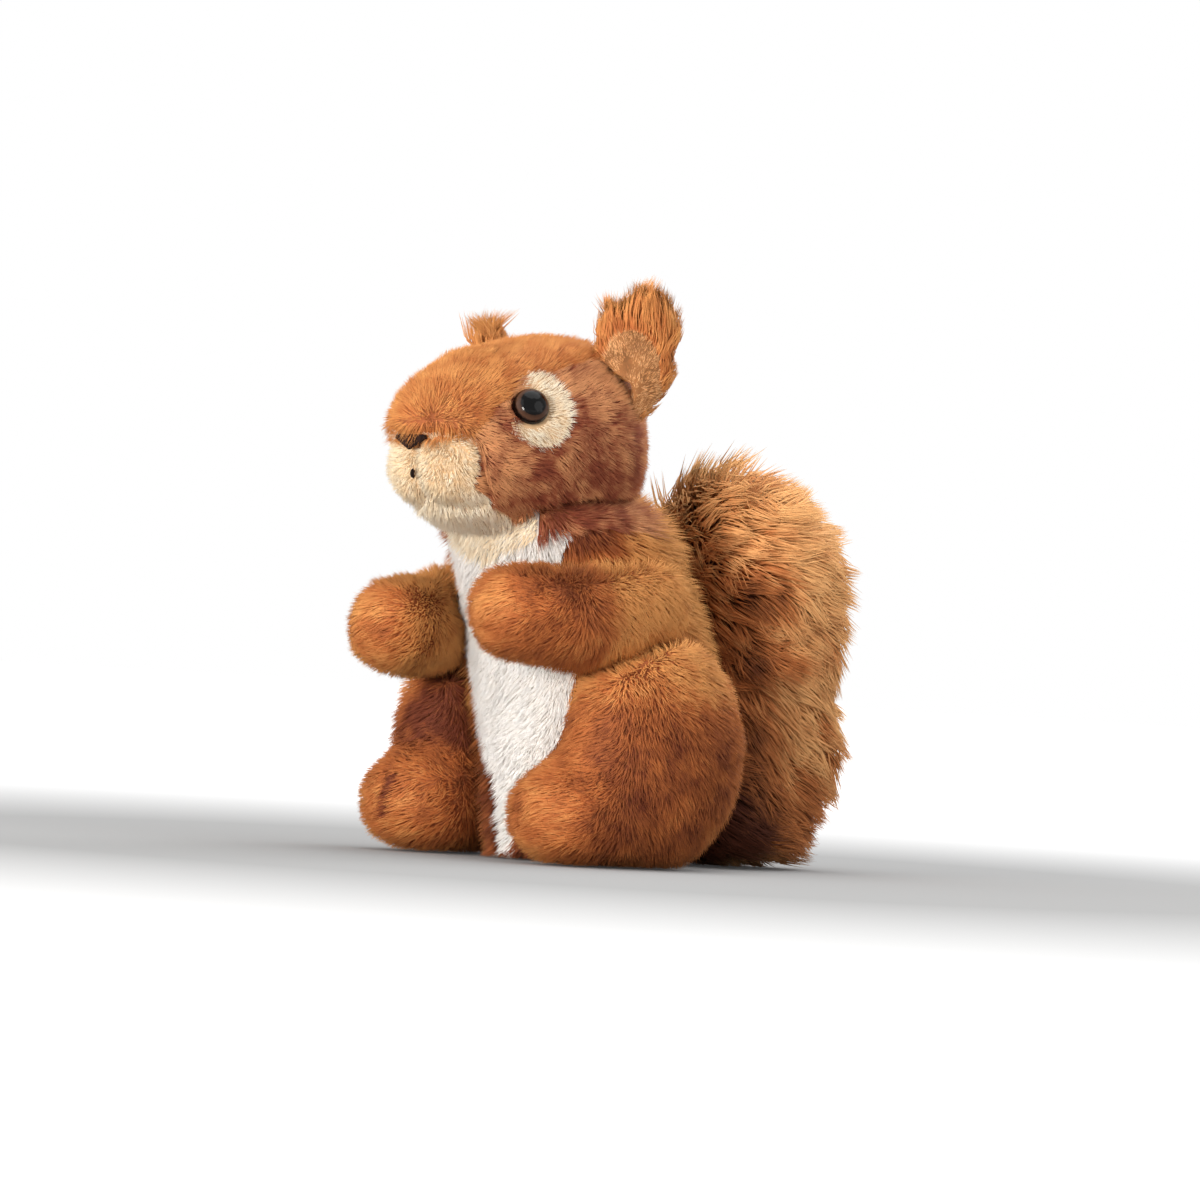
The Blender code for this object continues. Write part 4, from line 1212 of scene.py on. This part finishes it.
def leaders(spots, lock_size, area, draw):
    """For each root, the index of the root that leads its lock."""
    count = max(1, int(area / lock_size**2))
    chosen = draw.permutation(len(spots))[: min(count, len(spots))]
    tree = KDTree(len(chosen))
    for k in chosen.tolist():
        tree.insert(spots[k], k)
    tree.balance()
    return np.array([tree.find(p)[1] for p in spots.tolist()])


def clear_of_eyes(points, gap):
    """Press points that lie over an eye out past its rim and down to the face."""
    moved = points.copy()
    for seat, axis in EYES.values():
        rel = moved - seat
        height = rel @ axis
        aside = rel - np.outer(height, axis)
        far = np.linalg.norm(aside, axis=1)
        over = (far < EYE_RADIUS + gap) & (height > -3 * MM) & (height < 12 * MM)
        rim = unit(aside) * (EYE_RADIUS + gap)
        low = np.minimum(height, 1.6 * MM)
        moved[over] = (seat + rim + np.outer(low, axis))[over]
    return moved


def strand_mesh(name, starts, middles, ends, normals, radii, facts):
    """Three-sided strands that taper to a point; with middles they bend there."""
    count = len(starts)
    rings = [starts] if middles is None else [starts, middles]
    run = unit(ends - starts)
    side = unit(np.cross(run, normals) + 1e-9)
    over = np.cross(run, side)
    spin = facts["spin"]
    per = 3 * len(rings) + 1
    places = np.empty((count, per, 3))
    shading = np.empty((count, per, 3))
    along = np.empty((count, per))
    for r, ring in enumerate(rings):
        share = 1.0 if r == 0 else 0.8
        for k in range(3):
            turn = spin + 2 * math.pi * k / 3
            out = side * np.cos(turn)[:, None] + over * np.sin(turn)[:, None]
            places[:, 3 * r + k] = ring + out * (radii * share)[:, None]
            shading[:, 3 * r + k] = unit(out * 0.55 + normals)
            along[:, 3 * r + k] = r / len(rings)
    places[:, -1] = ends
    shading[:, -1] = unit(run * 0.3 + normals)
    along[:, -1] = 1.0
    places[:, :, 2] = np.maximum(places[:, :, 2], 0.25 * MM)

    faces, maps = [], []
    tops = len(rings) - 1
    for r in range(tops):
        for k in range(3):
            n = (k + 1) % 3
            low, high = r / len(rings), (r + 1) / len(rings)
            faces += [(3 * r + k, 3 * r + n, 3 * r + 3 + n), (3 * r + k, 3 * r + 3 + n, 3 * r + 3 + k)]
            maps += [((k, low), (k + 1, low), (k + 1, high)), ((k, low), (k + 1, high), (k, high))]
    for k in range(3):
        n = (k + 1) % 3
        low = tops / len(rings)
        faces.append((3 * tops + k, 3 * tops + n, per - 1))
        maps.append(((k, low), (k + 1, low), (k + 0.5, 1.0)))
    faces = np.array(faces)
    corner_count = count * faces.size
    indices = (faces.reshape(1, -1) + (np.arange(count) * per)[:, None]).ravel()

    mesh = bpy.data.meshes.new(name)
    mesh.vertices.add(count * per)
    mesh.loops.add(corner_count)
    mesh.polygons.add(corner_count // 3)
    mesh.vertices.foreach_set("co", places.astype(np.float32).ravel())
    mesh.loops.foreach_set("vertex_index", indices.astype(np.int32))
    mesh.polygons.foreach_set("loop_start", np.arange(0, corner_count, 3, dtype=np.int32))
    mesh.update(calc_edges=True)

    cells = math.ceil(math.sqrt(count))
    cell = np.stack([np.arange(count) % cells, np.arange(count) // cells], axis=1)
    inside = np.array(maps).reshape(-1, 2) / (3, 1) * 0.84 + 0.08
    spread = (cell[:, None, :] + inside[None]) / cells
    uv = mesh.uv_layers.new(name="OFBake")
    uv.data.foreach_set("uv", spread.astype(np.float32).ravel())
    for key in ("along", "tone", "tint_and_painted_shade"):
        values = along if key == "along" else np.repeat(facts[key], per)
        layer = mesh.attributes.new(key, "FLOAT", "POINT")
        layer.data.foreach_set("value", np.asarray(values, np.float32).ravel())
    lit = mesh.attributes.new("custom_normal", "FLOAT_VECTOR", "POINT")
    lit.data.foreach_set("vector", shading.astype(np.float32).ravel())
    return link(name, mesh)


def nose_cover(points):
    """True for points in front of the stitched nose."""
    low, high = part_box("nose_embroidery")
    mid = (low.z + high.z) / 2
    half = (high.x - low.x) / 2 * np.clip((points[:, 2] - low.z) / (mid - low.z), 0.15, 1)
    return (
        (np.abs(points[:, 0]) < half)
        & (points[:, 2] > low.z - 0.3 * MM)
        & (points[:, 2] < high.z - 2.0 * MM)
        & (points[:, 1] < high.y + 3 * MM)
    )


def grow(node, spots, normals, area, seed):
    """The pile of one node, from its roots."""
    _, length, radius, stand, lie, lock, gather, curved, comb, tint_and_painted_shade = PILES[node]
    draw = np.random.default_rng(seed)
    count = len(spots)
    brushed = unit(comb(spots, normals))
    flat = brushed - normals * (brushed * normals).sum(axis=1, keepdims=True)
    # where the brushing meets the surface head on, as at a paw's end, the pile stands
    lie = (lie * np.clip(1.5 * np.linalg.norm(flat, axis=1), 0.25, 1))[:, None]
    ways = unit(flat)
    swirl = np.stack([waves(spots, 16 * MM, seed + k) for k in (1, 2, 3)], axis=1)
    fine = np.stack([waves(spots, 4 * MM, seed + k) for k in (4, 5, 6)], axis=1)
    ways = tangent(ways + swirl * 0.35 + fine * 0.25 + draw.normal(0, 0.16, (count, 3)), normals)
    uneven = 0.13 * draw.normal(size=count).clip(-2, 2)
    lengths = length * MM * (1 + uneven + 0.10 * waves(spots, 9 * MM, seed + 7))
    if node in LONGER:
        lengths *= LONGER[node](spots)
    uneven = 1 + 0.25 * draw.normal(size=count).clip(-2, 2)
    rise = stand * uneven * (1 + 0.25 * waves(spots, 6 * MM, seed + 8))
    rise = np.maximum(rise, 0.2)
    run = unit(normals * rise[:, None] + ways * lie)
    ends = spots + run * lengths[:, None]
    lead = leaders(spots, lock * MM, area, draw)
    apart = spots - spots[lead]
    pull = gather * draw.uniform(0.5, 1.2, count)[:, None]
    ends = ends + (ends[lead] + apart * 0.25 - ends) * np.clip(pull, 0, 1)
    ends = clear_of_eyes(ends, 0.5 * MM)
    middles = None
    if curved:
        bend = unit(normals * (rise * 1.7)[:, None] + ways * lie * 0.75)
        middles = spots + bend * (lengths * 0.52)[:, None]
        middles = middles * 0.6 + (spots + ends) / 2 * 0.4
    facts = {
        "spin": draw.uniform(0, 2 * math.pi, count),
        "tone": 0.5 * draw.random(count) + 0.5 * draw.random(count)[lead],
        "tint_and_painted_shade": tint_and_painted_shade(spots),
    }
    starts = spots - normals * 0.2 * MM
    radii = radius * MM * draw.uniform(0.8, 1.2, count)
    pile = strand_mesh(node + "_pile", starts, middles, ends, normals, radii, facts)
    pile.data.materials.append(MATERIALS[SLOTS[node]])
    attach(pile, "root")
    return count * (9 if curved else 3)


def grow_body(name, body, seed):
    """All the piles of one stuffed body: one for each cloth that shows on it."""
    draw = np.random.default_rng(seed)
    area = surface_area(body.data)
    densest = max(PILES[node][0] for node in BODIES[name][0])
    spots, normals = roots_on(body.data, int(area / MM**2 * densest), draw)
    kept = ~hidden_roots(name, spots, normals)
    kept &= ~nose_cover(spots + normals * 2 * MM)
    for seat, axis in EYES.values():
        rel = spots - seat
        aside = rel - np.outer(rel @ axis, axis)
        kept &= (np.linalg.norm(aside, axis=1) > EYE_RADIUS * 0.97) | (np.abs(rel @ axis) > 12 * MM)
    spots, normals = spots[kept], normals[kept]
    owner = regions_of(name, spots, normals)
    nodes = BODIES[name][0]
    if name == "torso":
        owner = neck_of(spots, owner)
        nodes += ("neck_front", "neck_side")
    if name.startswith("ear"):
        # the tuft's roots stand closer together than those below it
        base, up, _, height = ear_axes(name[4:])
        share = 0.45 + 0.55 * smooth_step(0.35, 0.6, (spots - base) @ up / height)
        owner[(owner == name) & (draw.random(len(spots)) > share)] = "thinned"
    total = 0
    for k, node in enumerate(nodes):
        mine = np.flatnonzero(owner == node)
        most = MOST_TRIANGLES // (9 if PILES[node][7] else 3)
        share = PILES[node][0] / densest
        mine = mine[draw.random(len(mine)) < share]
        if len(mine) > most:
            mine = np.sort(draw.permutation(mine)[:most])
        here = len(mine) / (PILES[node][0] / MM**2)
        made = grow(node, spots[mine], normals[mine], here, seed * 100 + k * 10)
        print("pile", node, len(mine), "strands", made, "triangles")
        total += made
    return total


triangles = 0
for number, (name, body) in enumerate(bodies.items()):
    triangles += grow_body(name, body, number + 1)
everything = [t for t in bpy.context.scene.objects if t.type == "MESH" and t.name not in frame["nodes"]]
count = sum(len(face.vertices) - 2 for thing in everything for face in thing.data.polygons)
print("pile triangles", triangles, "and all made", count)
